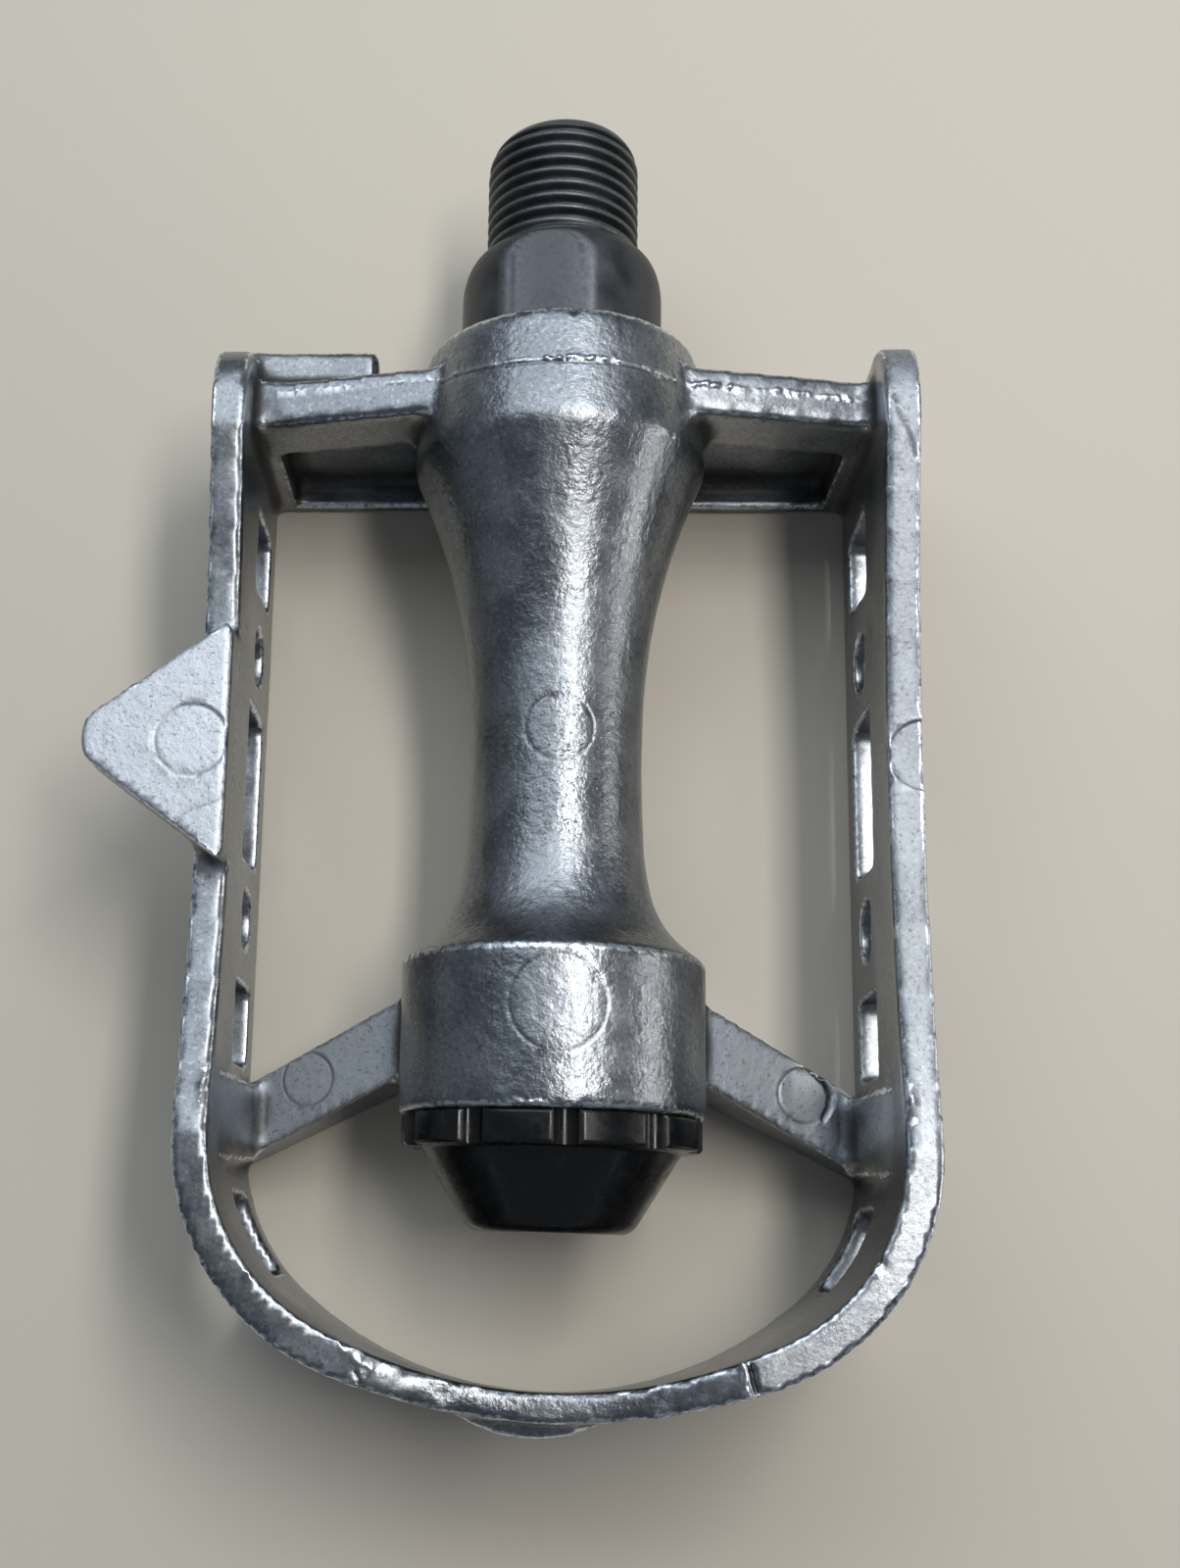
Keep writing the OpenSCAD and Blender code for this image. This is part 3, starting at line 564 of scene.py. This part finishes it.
# Raised flash and sunken creases: points of the path, width, height (negative where sunken), and how jagged it is
LINES = (
    (around(12.97, (-56, 14.9), (-38, 15.4), (-20, 15.7), (-5, 15.86)), 0.13, 0.09, 0.9),
    (around(12.99, (-7, 15.86), (2, 15.8), (10, 15.7), (25, 15.6)), 0.17, 0.30, 0.95),
    (around(12.97, (24, 15.6), (39, 15.65), (52, 15.4)), 0.14, 0.12, 0.9),
    (around(12.99, (-56, 15.2), (-20, 16.05), (3, 16.16), (25, 15.9), (52, 15.7)), 0.11, -0.10, 0.3),
    (around(13.38, (-41, 21.3), (-18, 21.6), (0, 21.75), (22, 21.6), (52, 21.1)), 0.14, 0.06, 0.9),
    (((10.0, -15.4, 8.1), (11.2, -15.3, 7.2), (12.8, -15.1, 6.75), (15.0, -15.1, 6.3)), 0.2, 0.30, 0.95),
    (((15.0, -15.1, 6.3), (20.0, -15.1, 5.3), (27.9, -15.3, 3.75)), 0.14, 0.13, 0.95),
    (((-27.3, -14.5, 3.85), (-17.1, -14.5, 5.86), (-11.0, -14.7, 7.1)), 0.13, 0.10, 0.95),
    (((1.05, -10.2, 12.1), (1.0, -10.8, 12.6), (0.95, -11.1, 12.7)), 0.3, -0.4, 0.1),
    (((28.6, -17.7, 10.0), (29.1, -19.4, 10.0), (29.75, -20.8, 9.9), (30.3, -22.1, 9.6), (30.5, -23.2, 9.3)),
     0.12, -0.14, 0.2),
    (((15.3, -98.7, 10.0), (15.7, -99.9, 10.0), (15.85, -100.7, 10.0), (16.3, -101.9, 10.0)), 0.24, -0.5, 0.2),
    (((14.9, -99.0, 10.0), (15.2, -100.0, 10.0), (15.3, -101.2, 10.0)), 0.28, 0.12, 0.9),
    (((-15.2, -100.9, 10.0), (-14.9, -101.4, 9.9), (-14.7, -102.0, 9.9)), 0.14, -0.12, 0.4),
    (((-1.9, -71.2, 13.05), (-1.2, -71.55, 13.15), (-0.3, -71.8, 13.18), (0.3, -71.7, 13.19)), 0.1, -0.04, 0.6),
    (((-33.0, -57.2, 10.0), (-31.2, -55.8, 10.0), (-28.2, -54.6, 10.0)), 0.12, -0.06, 0.5),
    (((-17.4, -98.4, 10.0), (-15.4, -99.8, 10.0), (-12.9, -100.9, 9.6)), 0.2, 0.12, 0.95),
    (((-3.6, -79.5, 12.75), (-2.2, -79.6, 13.0), (-0.8, -79.5, 13.1)), 0.2, 0.14, 0.95),
    (((-29.6, -58.6, 10.0), (-28.4, -59.9, 10.0), (-27.9, -60.4, 10.0)), 0.22, 0.12, 0.95),
    (((6.03, -39.3, 5.6), (6.9, -34.5, 6.4), (7.7, -29.0, 7.0)), 0.12, -0.05, 0.4),
    (((24.3, -79.1, -6.95), (24.95, -78.0, -7.3), (25.1, -76.9, -7.4), (24.6, -75.7, -7.1), (23.5, -74.9, -6.5)),
     0.2, -0.32, 0.1),
    (((24.9, -79.0, -7.3), (25.5, -77.9, -7.6), (25.65, -76.7, -7.7), (25.1, -75.4, -7.4), (24.0, -74.5, -6.8)),
     0.12, 0.10, 0.5),
    (((-20.0, -78.2, -4.8), (-19.5, -77.0, -4.6), (-19.8, -75.8, -4.75), (-20.9, -74.7, -5.35)), 0.16, 0.10, 0.5),
)

# Dents: place, radius and depth in millimetres
DENTS = (
    ((25.8, -91.3, 10.0), 0.7, 0.12), ((-8.5, -102.2, 8.8), 0.8, 0.05), ((-29.6, -33.0, 7.8), 0.8, 0.05),
    ((30.0, -36.0, 7.4), 0.9, 0.05), ((-3.2, -12.7, 12.4), 0.35, 0.06), ((-24.5, -94.0, 10.0), 0.7, 0.04),
)
# How many millimetres a pin mark reaches to each side of its groove, and a line at most to each side of its path
MARK_REACH = 0.6
LINE_REACH = 3.0
# Widths in millimetres of a pin mark's groove and of the lip outside it, and where the lip lies
GROOVE_WIDTH, LIP_WIDTH, LIP_AT = 0.13, 0.16, 0.26
# The height of the lip as a share of the groove's depth
LIP_SHARE = 0.35
# The foot side of the casting, below this height, carries no pin marks
MARKS_ABOVE = -10.0
# How many millimetres a jagged line strays from its path
STRAY = 0.16
# Cuts across each edge near the marks, and the depth in millimetres that tumbling took off all over
MARK_CUTS = 3
TUMBLED = 0.03


def near_path(p, path, reach):
    """Distance from points p to the nearest segment of a path, up to a reach, all in millimetres."""
    path = np.array(path, float)
    out = np.full(len(p), float(reach))
    near = np.flatnonzero(((p > path.min(0) - reach) & (p < path.max(0) + reach)).all(1))
    q = p[near]
    best = np.full(len(q), float(reach))
    for a, b in zip(path[:-1], path[1:]):
        along = b - a
        t = np.clip((q - a) @ along / (along @ along), 0, 1)
        best = np.minimum(best, np.linalg.norm(q - a - t[:, None] * along, axis=1))
    out[near] = best
    return out


def marked(p, nrm):
    """True at points close enough to a mark for the mesh to need small cells."""
    close = np.zeros(len(p), bool)
    for x, y, radius, *_ in RINGS:
        off = np.abs(np.hypot(p[:, 0] - x, p[:, 1] - y) - radius)
        close |= (off < MARK_REACH) & (nrm[:, 2] > 0.4) & (p[:, 2] > MARKS_ABOVE)
    for path, width, *_ in LINES:
        close |= near_path(p, path, LINE_REACH) < width * 2 + 0.4
    for place, radius, _ in DENTS:
        close |= np.linalg.norm(p - np.array(place), axis=1) < radius * 1.5
    return close


def refine(mesh, chosen, cuts):
    """Splits every edge between two chosen vertices into cuts + 1 parts."""
    bm = bmesh.new()
    bm.from_mesh(mesh)
    edges = [e for e in bm.edges if chosen[e.verts[0].index] and chosen[e.verts[1].index]]
    bmesh.ops.subdivide_edges(bm, edges=edges, cuts=cuts, use_grid_fill=True)
    bm.to_mesh(mesh)
    bm.free()


def press_marks(p, nrm):
    """Height of the pin marks, flash, creases and dents over the surface, and the painted highlight and painted shade
    that each point gets. A groove or bead is a bell curve of the distance from its line."""
    height = np.zeros(len(p))
    painted_highlight = np.zeros(len(p))
    painted_shade = np.zeros(len(p))
    up = (nrm[:, 2] > 0.3) & (p[:, 2] > MARKS_ABOVE)
    ragged = 0.7 * hash_noise(p, 0.33, 21) + 0.6 * hash_noise(p, 0.9, 22)
    broad = hash_noise(p, 2.2, 33)
    for x, y, radius, groove, sink, tilt_x, tilt_y in RINGS:
        dx, dy = p[:, 0] - x, p[:, 1] - y
        reach = np.hypot(dx, dy)
        off = reach - radius
        here = up & (off < MARK_REACH)
        bell = np.exp(-((off / GROOVE_WIDTH) ** 2)) * (0.7 + 0.4 * broad)
        lip = np.exp(-(((off - LIP_AT) / LIP_WIDTH) ** 2))
        inside = 1 - smooth_step(off, -0.1, 0.06)
        disc = -(sink + tilt_x * dx / radius + tilt_y * dy / radius) * inside
        height += np.where(here, disc - groove * bell + LIP_SHARE * groove * lip, 0)
        # The groove gets painted shade, and the lip outside it a painted highlight
        painted_shade += np.where(here, 0.75 * bell, 0)
        painted_highlight += np.where(here, 0.45 * lip * smooth_step(ragged, -0.4, 0.8), 0)
    shaken = p + STRAY * np.stack([hash_noise(p, 0.45, seed) for seed in (51, 52, 53)], -1)
    for path, width, tall, jagged in LINES:
        distance = near_path(shaken if jagged > 0.5 else p, path, LINE_REACH)
        bell = np.exp(-((distance / width) ** 2))
        uneven = 1 - jagged * smooth_step(ragged, -0.35, 0.45)
        height += tall * bell * uneven
        # A raised flash line gets a painted highlight; a sunken crease gets painted shade and a painted highlight
        # beside it
        if tall > 0:
            painted_highlight += bell * uneven * 1.2
        else:
            painted_shade += bell * min(1.0, abs(tall) * 6)
            painted_highlight += 0.5 * np.exp(-(((distance - 2 * width) / width) ** 2)) * smooth_step(ragged, -0.2, 0.9)
    for place, radius, depth in DENTS:
        distance = np.linalg.norm(p - np.array(place), axis=1)
        height -= depth * (1 - smooth_step(distance, 0, radius))
        # The rim of a dent gets a painted highlight
        painted_highlight += depth * np.exp(-(((distance - radius * 0.8) / (radius * 0.3)) ** 2))
    return height, np.clip(painted_highlight, 0, 1), np.clip(painted_shade, 0, 1)


# Unevenness of the cast skin: height and cell size in millimetres and seed of each layer
UNEVEN = ((0.014, 2.6, 3), (0.010, 1.3, 5), (0.014, 6.0, 9))
# Greatest depth of the nicks along outward edges, and how many millimetres they reach
NICK_DEPTH, NICK_REACH = 0.035, 0.6
# Distance that the skin keeps from the sides of the CAD's box
BOX_MARGIN = 0.002


def skin_zones(p, nrm):
    """How strongly the waist is pitted, the upward faces of the tab, outer arms and right rail show the paler skin of
    the casting with a painted lit top, and each point is hammered, from its place in millimetres and its normal."""
    x, y, z = p.T
    out = -y
    radial = np.hypot(x, z)
    waist = smooth_step(out, 36, 45) * (1 - smooth_step(out, 54, 64)) * (radial < 14)
    up = smooth_step(nrm[:, 2], 0.5, 0.8)
    tab_half = 12.8 * (1 + (x + 27.6) / 13.5)
    tab = (z > 6.5) * ((x < -31.3) | ((x < -27) & (np.abs(y + 49.2) < tab_half)))
    arm = (y < -66) * (y > -87) * smooth_step(radial, 13.45, 13.9) * (np.abs(x) < 27.5)
    rail = smooth_step(x, 26.8, 27.6) * (z > 4) * (1 - smooth_step(out, 62, 92))
    # Upward faces only: the skin's own paler tone together with a painted lit top
    cast_skin_and_lit_top = up * np.clip(tab + arm + 0.22 * rail, 0, 1)
    hammered = np.clip(0.28 + 0.6 * (radial < 13.6) + 0.5 * up * (rail + tab + 0.6 * arm), 0, 1)
    return {"pitted": waist, "cast_skin_and_lit_top": cast_skin_and_lit_top, "hammered": hammered}


def build_casting(settings):
    """The cast body: its CAD surface with tumbled edges, moved along its normals by a slight unevenness, the pin
    marks, flash and dents, and the wear, painted shade, painted highlights and pitting that its material reads."""
    skin = casting_skin(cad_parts["body_casting"], settings.voxel / MM)
    mesh = skin.data
    relax(mesh)
    set_hollow_shade(mesh)
    refine(mesh, marked(positions(mesh), normals(mesh)), MARK_CUTS)
    p, nrm = positions(mesh), normals(mesh)
    nicked = 1 - smooth_step(read_attribute(mesh, "ridge"), 0.0, NICK_REACH)
    uneven = sum(height * hash_noise(p, cell, seed) for height, cell, seed in UNEVEN)
    uneven -= nicked * NICK_DEPTH * smooth_step(hash_noise(p, 0.9, 41) + 0.6 * hash_noise(p, 3.0, 43), 0.1, 1.0)
    height, painted_highlight, painted_shade = press_marks(p, nrm)
    moved = p + nrm * (uneven + height - TUMBLED)[:, None]
    low, high = (np.array(side) / MM for side in cad_box)
    set_positions(mesh, np.clip(moved, low + BOX_MARGIN, high - BOX_MARGIN))
    # The painted highlights and painted shade of the marks go to the material as attributes
    for name, values in {"painted_glint": painted_highlight, "groove_shade": painted_shade, **skin_zones(p, nrm)}.items():
        set_attribute(mesh, name, values)
    mesh.polygons.foreach_set("use_smooth", np.full(len(mesh.polygons), True))
    paint(skin, cast_aluminium())
    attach(skin, BODY)
    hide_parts("body_casting")


# ---------------------------------------------------------------- spindle

# Radius over the crests, length and pitch of the crank thread
THREAD_R = 7.144
THREAD_LEN = 12.5
PITCH = 1.27
# Over which distances from the tip and from the collar the thread reaches its full depth
TIP_FADE, COLLAR_FADE = (0.5, 1.6), (0.35, 1.6)
# Distances from a root, as shares of half a pitch, between which a thread's flank rises
FLANK = (0.10, 0.82)
# The rounded lead at the tip: how far it drops, and its length
LEAD_DROP, LEAD_LEN = 2.1, 3.1
# The collar: its radius, the radius where its dome starts, the dome's length and the length that the flats reach
COLLAR_R = 9.35
DOME_START_R = 7.494
DOME_LEN = 3.8
FLAT_END = 10.1
# The inner race: its corner's radius and station, and the radius of its groove
RACE_R, RACE_AT, RACE_GROOVE = 8.5, 17.2, 2.0245
# The lathe centre hole: its radius, and where it ends at the outer end of the shaft
CENTRE_R, CENTRE_END = 1.6, 83.6


def spindle_profile():
    """[radius, station] of the spindle's revolved outline from the crank tip to the outer end. The lead and the
    collar's dome are quarter ellipses, and the race is a quarter circle cut into the shaft."""
    along = np.concatenate([[0, 0.01, 0.03, 0.06, 0.1], np.arange(0.17, THREAD_LEN - 0.02, PITCH / 14)])
    lead = [1 - math.sqrt(1 - (1 - min(t / LEAD_LEN, 1)) ** 2) for t in along]
    thread = [[THREAD_R - LEAD_DROP * drop, t - THREAD_LEN] for drop, t in zip(lead, along)]
    shoulder = [[DOME_START_R + (COLLAR_R - DOME_START_R) * math.sin(a), DOME_LEN * (1 - math.cos(a))]
                for a in np.radians(np.linspace(0, 90, 15))]
    collar = [[COLLAR_R, s] for s in np.linspace(4.4, 14.4, 12)]
    race = [[RACE_R - RACE_GROOVE * math.sin(a), RACE_AT - RACE_GROOVE * math.cos(a)]
            for a in np.radians(np.linspace(0, 90, 9))]
    shaft = [[6.475, 17.8], [5, 19.6], [5, 67.3], [4, 67.6], [4, 84.9], [3.7, 85.2], [CENTRE_R, 85.2]]
    hole = [[CENTRE_R, -THREAD_LEN]]
    return np.array(hole + thread + shoulder + collar + [[8.85, 15.1]] + race + shaft)


def thread_groove(theta, station, depth):
    """How far a left-hand 60 degree thread cuts below its crests: a wave along the axis, whose phase turns once
    round the axis per pitch, with flat crests, straight flanks and round roots. It fades at both ends."""
    phase = ((-station + PITCH * theta / (2 * math.pi)) / PITCH) % 1.0
    off_root = np.abs(phase - 0.5) * 2
    wave = 1 - smooth_step(off_root, *FLANK)
    fade = smooth_step(-station, *COLLAR_FADE)
    lead = smooth_step(station + THREAD_LEN, *TIP_FADE)
    return depth * wave * fade * lead


# A wrench flat is only sought where the cosine of the angle from its middle is above this
LEAST_LEAN = 0.3


def build_spindle(settings):
    """The spindle: the outline revolved, the crank thread cut as a left-hand helix, and two wrench flats taken
    off the collar, each the smaller of the round radius and the flat's own distance over the cosine. Crests and the
    corners of the flats are worn, and a corner is where the radius bends most round the axis."""
    profile = spindle_profile()
    theta = np.linspace(-math.pi, math.pi, settings.columns, endpoint=False)
    radius = np.repeat(profile[:, :1], len(theta), 1)
    station = np.repeat(profile[:, 1:], len(theta), 1)
    angle = np.repeat(theta[None, :], len(profile), 0)
    threaded = (station <= -0.01) & (radius > 5)
    cut = THREAD_R - thread_groove(angle, station, settings.thread_depth / MM)
    radius = np.where(threaded, np.minimum(radius, cut), radius)
    turn = settings.flat_turn
    flat = settings.across_flats / MM / 2
    on_collar = (station > 0.0) & (station < FLAT_END)
    for face in (-turn, math.pi - turn):
        lean = np.cos(angle - face)
        cut = np.where(lean > LEAST_LEAN, flat / np.maximum(lean, LEAST_LEAN), COLLAR_R)
        radius = np.where(on_collar, np.minimum(radius, cut), radius)
    skin = lathe("spindle_skin", radius, station, angle, CENTRE_R - THREAD_LEN, CENTRE_END)
    crest = np.where(threaded, smooth_step(1 - thread_groove(angle, station, 1.0), 0.75, 1.0) * 0.7, 0.0)
    bend = np.abs(np.gradient(np.gradient(radius, axis=1), axis=1))
    corner = np.where(on_collar, smooth_step(bend * 40, 0.4, 1.0) * 0.6, 0.0)
    set_attribute(skin.data, "wear", np.concatenate([np.maximum(crest, corner).ravel(), [0, 0]]))
    paint(skin, black_steel())
    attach(skin, SPINDLE)
    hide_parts("spindle")


# ---------------------------------------------------------------- dust cap

# The cap's outer end, its wall there, its rim's radius and the two ends of the rim
CAP_END = 89.7
CAP_WALL = 1.3
RIM_R = 12.85
RIM_START, RIM_END = 80.0, 82.8
# Radius of a grip notch
NOTCH_R = 1.15


def build_cap(settings):
    """The dust cap: a profile from the outer pole over the cone, rim and thread to the inner pole, revolved. In a
    notch the rim's radius is the near side of a circle about a point on the rim: the rim's radius times the cosine,
    less the root of the notch's radius squared less that of the rim's radius times the sine."""
    outline = [[0, CAP_END], [6.4, CAP_END], [7.2, CAP_END - 0.5], [11.2, RIM_END], [12.6, RIM_END],
               [RIM_R, RIM_END - 0.25], [RIM_R, RIM_START + 0.25], [12.6, RIM_START], [11.65, RIM_START],
               [11.65, 76.5], [10.35, 76.5], [10.35, 81.8], [9.9, RIM_END], [5.9, CAP_END - CAP_WALL],
               [0, CAP_END - CAP_WALL]]
    radii = [0.5, 0.6, 0.35, 0.2, 0.15, 0.15, 0.15, 0.1, 0.2, 0.2, 0.1, 0.2, 0.3]
    path = rounded_path(outline, radii)[1:-1]
    count = settings.notches
    half = math.asin(NOTCH_R / RIM_R)
    inside = np.linspace(-1, 1, 13) * half
    pitch = 2 * math.pi / count
    one = np.concatenate([[-half * 1.12], inside, [half * 1.12], np.linspace(half * 1.3, pitch - half * 1.3, 7)])
    theta = np.concatenate([one + pitch * k + settings.notch_turn for k in range(count)])
    local = np.tile(one, count)
    radius = np.repeat(path[:, :1], len(theta), 1)
    station = np.repeat(path[:, 1:], len(theta), 1)
    in_notch = np.abs(local) <= half + 1e-9
    reach = RIM_R * np.cos(local) - np.sqrt(np.maximum(NOTCH_R**2 - (RIM_R * np.sin(local)) ** 2, 0))
    on_rim = (station >= RIM_START) & (station <= RIM_END) & (radius > 10.9)
    radius = np.where(on_rim & in_notch[None, :], np.minimum(radius, reach[None, :]), radius)
    angle = np.repeat(theta[None, :], len(path), 0)
    skin = lathe("cap_skin", radius, station, angle, CAP_END, CAP_END - CAP_WALL)
    edge = np.where(on_rim & (np.abs(np.abs(local) - half) < 1e-6)[None, :], 0.8, 0.0)
    set_attribute(skin.data, "wear", np.concatenate([edge.ravel(), [0, 0]]))
    paint(skin, black_plastic())
    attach(skin, BODY)
    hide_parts("dust_cap")


# ---------------------------------------------------------------- bearings


def finish_bearings():
    """Materials for the pieces hidden in the barrel, which keep their CAD shape."""
    looks = {
        "bearing_steel": ground_steel(),
        "ball_steel": polished_ball(),
        "plated_steel": zinc_plate(),
        "seal_rubber": seal_rubber(),
    }
    slots = {"inner_cup": "bearing_steel", "outer_cup": "bearing_steel", "outer_cone": "bearing_steel",
             "lock_washer": "plated_steel", "lock_nut": "plated_steel", "dust_seal": "seal_rubber"}
    for name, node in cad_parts.items():
        slot_name = "ball_steel" if "_ball_" in name else slots.get(name)
        if slot_name:
            paint(node, looks[slot_name])


# ---------------------------------------------------------------- studio


def area_light(name, place, aim, size, watts, colour):
    """A soft rectangular light at a place in millimetres, facing another, with its second side towards +y."""
    data = bpy.data.lights.new(name, "AREA")
    data.shape = "RECTANGLE"
    data.size, data.size_y = size[0] * MM, size[1] * MM
    data.energy = watts
    data.color = colour
    obj = bpy.data.objects.new(name, data)
    bpy.context.scene.collection.objects.link(obj)
    back = (Vector(place) - Vector(aim)).normalized()
    side = (Vector((0, 1, 0)) - back * back.y).normalized()
    turn = Matrix((side.cross(back), side, back)).transposed()
    obj.location = [c * MM for c in place]
    obj.rotation_euler = turn.to_euler()


def floor_material(colour):
    """A plain pale colour without gloss."""
    n = Nodes("studio_floor")
    pale = n.add("ShaderNodeBsdfDiffuse", {"Color": (*colour, 1)})
    n.add("ShaderNodeOutputMaterial", {"Surface": pale.outputs[0]})
    return n.material


# The middle of the pedal, the floor's half side and its height, just under the foot edge, in millimetres
CENTRE = (0.0, -50.0, 0.0)
FLOOR_HALF = 400.0
FLOOR_Z = -16.02
# Lamps: name, place, two sides in millimetres, share of the light and colour
LAMPS = (
    ("key_light", (112.0, 10.0, 330.0), (52, 240), 0.95, (1.0, 0.98, 0.95)),
    ("side_light", (300.0, -50.0, 78.0), (20, 200), 0.2, (1.0, 0.97, 0.93)),
    ("fill_light", (-40.0, 170.0, 300.0), (440, 260), 1.1, (0.84, 0.92, 1.0)),
)
WORLD_COLOUR, WORLD_STRENGTH = (0.62, 0.72, 0.86, 1), 0.19
# The photograph's viewpoint in millimetres, and the camera's turn in degrees
CAMERA_PLACE = (-2.02, -89.74, 152.24)
CAMERA_TURN = (11.886, 3.493, 1.657)


def build_studio(settings):
    """The floor under the pedal's foot edge, three soft lights, a dim world and the camera."""
    west, east = CENTRE[0] - FLOOR_HALF, CENTRE[0] + FLOOR_HALF
    south, north = CENTRE[1] - FLOOR_HALF, CENTRE[1] + FLOOR_HALF
    corners = [[west, south, FLOOR_Z], [east, south, FLOOR_Z], [east, north, FLOOR_Z], [west, north, FLOOR_Z]]
    floor = new_object("floor", corners, [(0, 1, 2, 3)], False)
    floor.data.materials.append(floor_material(settings.floor_colour))
    for name, place, size, share, colour in LAMPS:
        area_light(name, place, CENTRE, size, share * settings.light, colour)
    world = bpy.data.worlds.new("studio_world")
    world.use_nodes = True
    background = world.node_tree.nodes["Background"]
    background.inputs["Color"].default_value = WORLD_COLOUR
    background.inputs["Strength"].default_value = WORLD_STRENGTH
    scene = bpy.context.scene
    scene.world = world
    scene.view_settings.view_transform = "Standard"
    data = bpy.data.cameras.new("photo_camera")
    data.lens = settings.lens
    data.sensor_width = 36.0
    data.shift_x = settings.shift_x
    data.shift_y = settings.shift_y
    data.clip_start, data.clip_end = 0.01, 10.0
    camera = bpy.data.objects.new("photo_camera", data)
    scene.collection.objects.link(camera)
    camera.location = [c * MM for c in CAMERA_PLACE]
    camera.rotation_euler = Euler([math.radians(v) for v in CAMERA_TURN], "XYZ")
    scene.camera = camera


# ---------------------------------------------------------------- add-on


class CastingSettings(bpy.types.PropertyGroup):
    """Sizes of the cast body's surface."""

    voxel: bpy.props.FloatProperty(
        name="Cell size", description="Size of the cells of the casting's surface", default=0.00062, unit="LENGTH"
    )


class SpindleSettings(bpy.types.PropertyGroup):
    """Sizes of the spindle."""

    columns: bpy.props.IntProperty(name="Columns", description="Vertices round the spindle", default=144)
    thread_depth: bpy.props.FloatProperty(
        name="Thread depth", description="Depth of the crank thread", default=0.00072, unit="LENGTH"
    )
    flat_turn: bpy.props.FloatProperty(
        name="Flat turn", description="Turn of the wrench flats away from the top", default=math.radians(9.5),
        unit="ROTATION",
    )
    across_flats: bpy.props.FloatProperty(
        name="Across flats", description="Width over the two wrench flats", default=0.017, unit="LENGTH"
    )


class CapSettings(bpy.types.PropertyGroup):
    """Sizes of the dust cap."""

    notches: bpy.props.IntProperty(name="Notches", description="Number of notches round the rim", default=10)
    notch_turn: bpy.props.FloatProperty(
        name="Notch turn", description="Turn of the first notch away from the top", default=math.radians(5.0),
        unit="ROTATION",
    )


class StudioSettings(bpy.types.PropertyGroup):
    """Floor, light and camera."""

    floor_colour: bpy.props.FloatVectorProperty(
        name="Floor colour", description="Colour of the floor", default=(0.72, 0.66, 0.56), subtype="COLOR"
    )
    light: bpy.props.FloatProperty(name="Light", description="Strength of all lamps together", default=0.6)
    lens: bpy.props.FloatProperty(
        name="Lens", description="Focal length of the camera in millimetres", default=40.195
    )
    shift_x: bpy.props.FloatProperty(name="Shift X", description="Sideways shift of the picture", default=0.1107)
    shift_y: bpy.props.FloatProperty(name="Shift Y", description="Upward shift of the picture", default=0.0513)


class PEDAL_OT_casting(bpy.types.Operator):
    """Build the cast body's finished surface"""

    bl_idname = "pedal.casting"
    bl_label = "Casting"

    def execute(self, context):
        build_casting(context.scene.pedal_casting)
        return {"FINISHED"}


class PEDAL_OT_spindle(bpy.types.Operator):
    """Build the spindle's finished surface"""

    bl_idname = "pedal.spindle"
    bl_label = "Spindle"

    def execute(self, context):
        build_spindle(context.scene.pedal_spindle)
        return {"FINISHED"}


class PEDAL_OT_cap(bpy.types.Operator):
    """Build the dust cap's finished surface"""

    bl_idname = "pedal.cap"
    bl_label = "Dust cap"

    def execute(self, context):
        build_cap(context.scene.pedal_cap)
        return {"FINISHED"}


class PEDAL_OT_bearings(bpy.types.Operator):
    """Give the bearing pieces their materials"""

    bl_idname = "pedal.bearings"
    bl_label = "Bearings"

    def execute(self, context):
        finish_bearings()
        return {"FINISHED"}


class PEDAL_OT_studio(bpy.types.Operator):
    """Build the floor, lights and camera"""

    bl_idname = "pedal.studio"
    bl_label = "Studio"

    def execute(self, context):
        build_studio(context.scene.pedal_studio)
        return {"FINISHED"}


class PEDAL_PT_panel(bpy.types.Panel):
    """Sidebar panel of the pedal"""

    bl_idname = "PEDAL_PT_panel"
    bl_label = "Cast Road Pedal"
    bl_space_type = "VIEW_3D"
    bl_region_type = "UI"
    bl_category = "Pedal"

    def draw(self, context):
        for step in STEPS:
            self.layout.operator(step.bl_idname)


SETTINGS = {
    "pedal_casting": CastingSettings,
    "pedal_spindle": SpindleSettings,
    "pedal_cap": CapSettings,
    "pedal_studio": StudioSettings,
}
STEPS = (PEDAL_OT_casting, PEDAL_OT_spindle, PEDAL_OT_cap, PEDAL_OT_bearings, PEDAL_OT_studio)
CLASSES = (*SETTINGS.values(), *STEPS, PEDAL_PT_panel)


def register():
    for cls in CLASSES:
        bpy.utils.register_class(cls)
    for name, cls in SETTINGS.items():
        setattr(bpy.types.Scene, name, bpy.props.PointerProperty(type=cls))


def unregister():
    for name in SETTINGS:
        delattr(bpy.types.Scene, name)
    for cls in reversed(CLASSES):
        bpy.utils.unregister_class(cls)


def main():
    """Builds all pieces and the stage."""
    register()
    bpy.ops.pedal.casting()
    bpy.ops.pedal.spindle()
    bpy.ops.pedal.cap()
    bpy.ops.pedal.bearings()
    bpy.ops.pedal.studio()


if __name__ == "__main__":
    main()
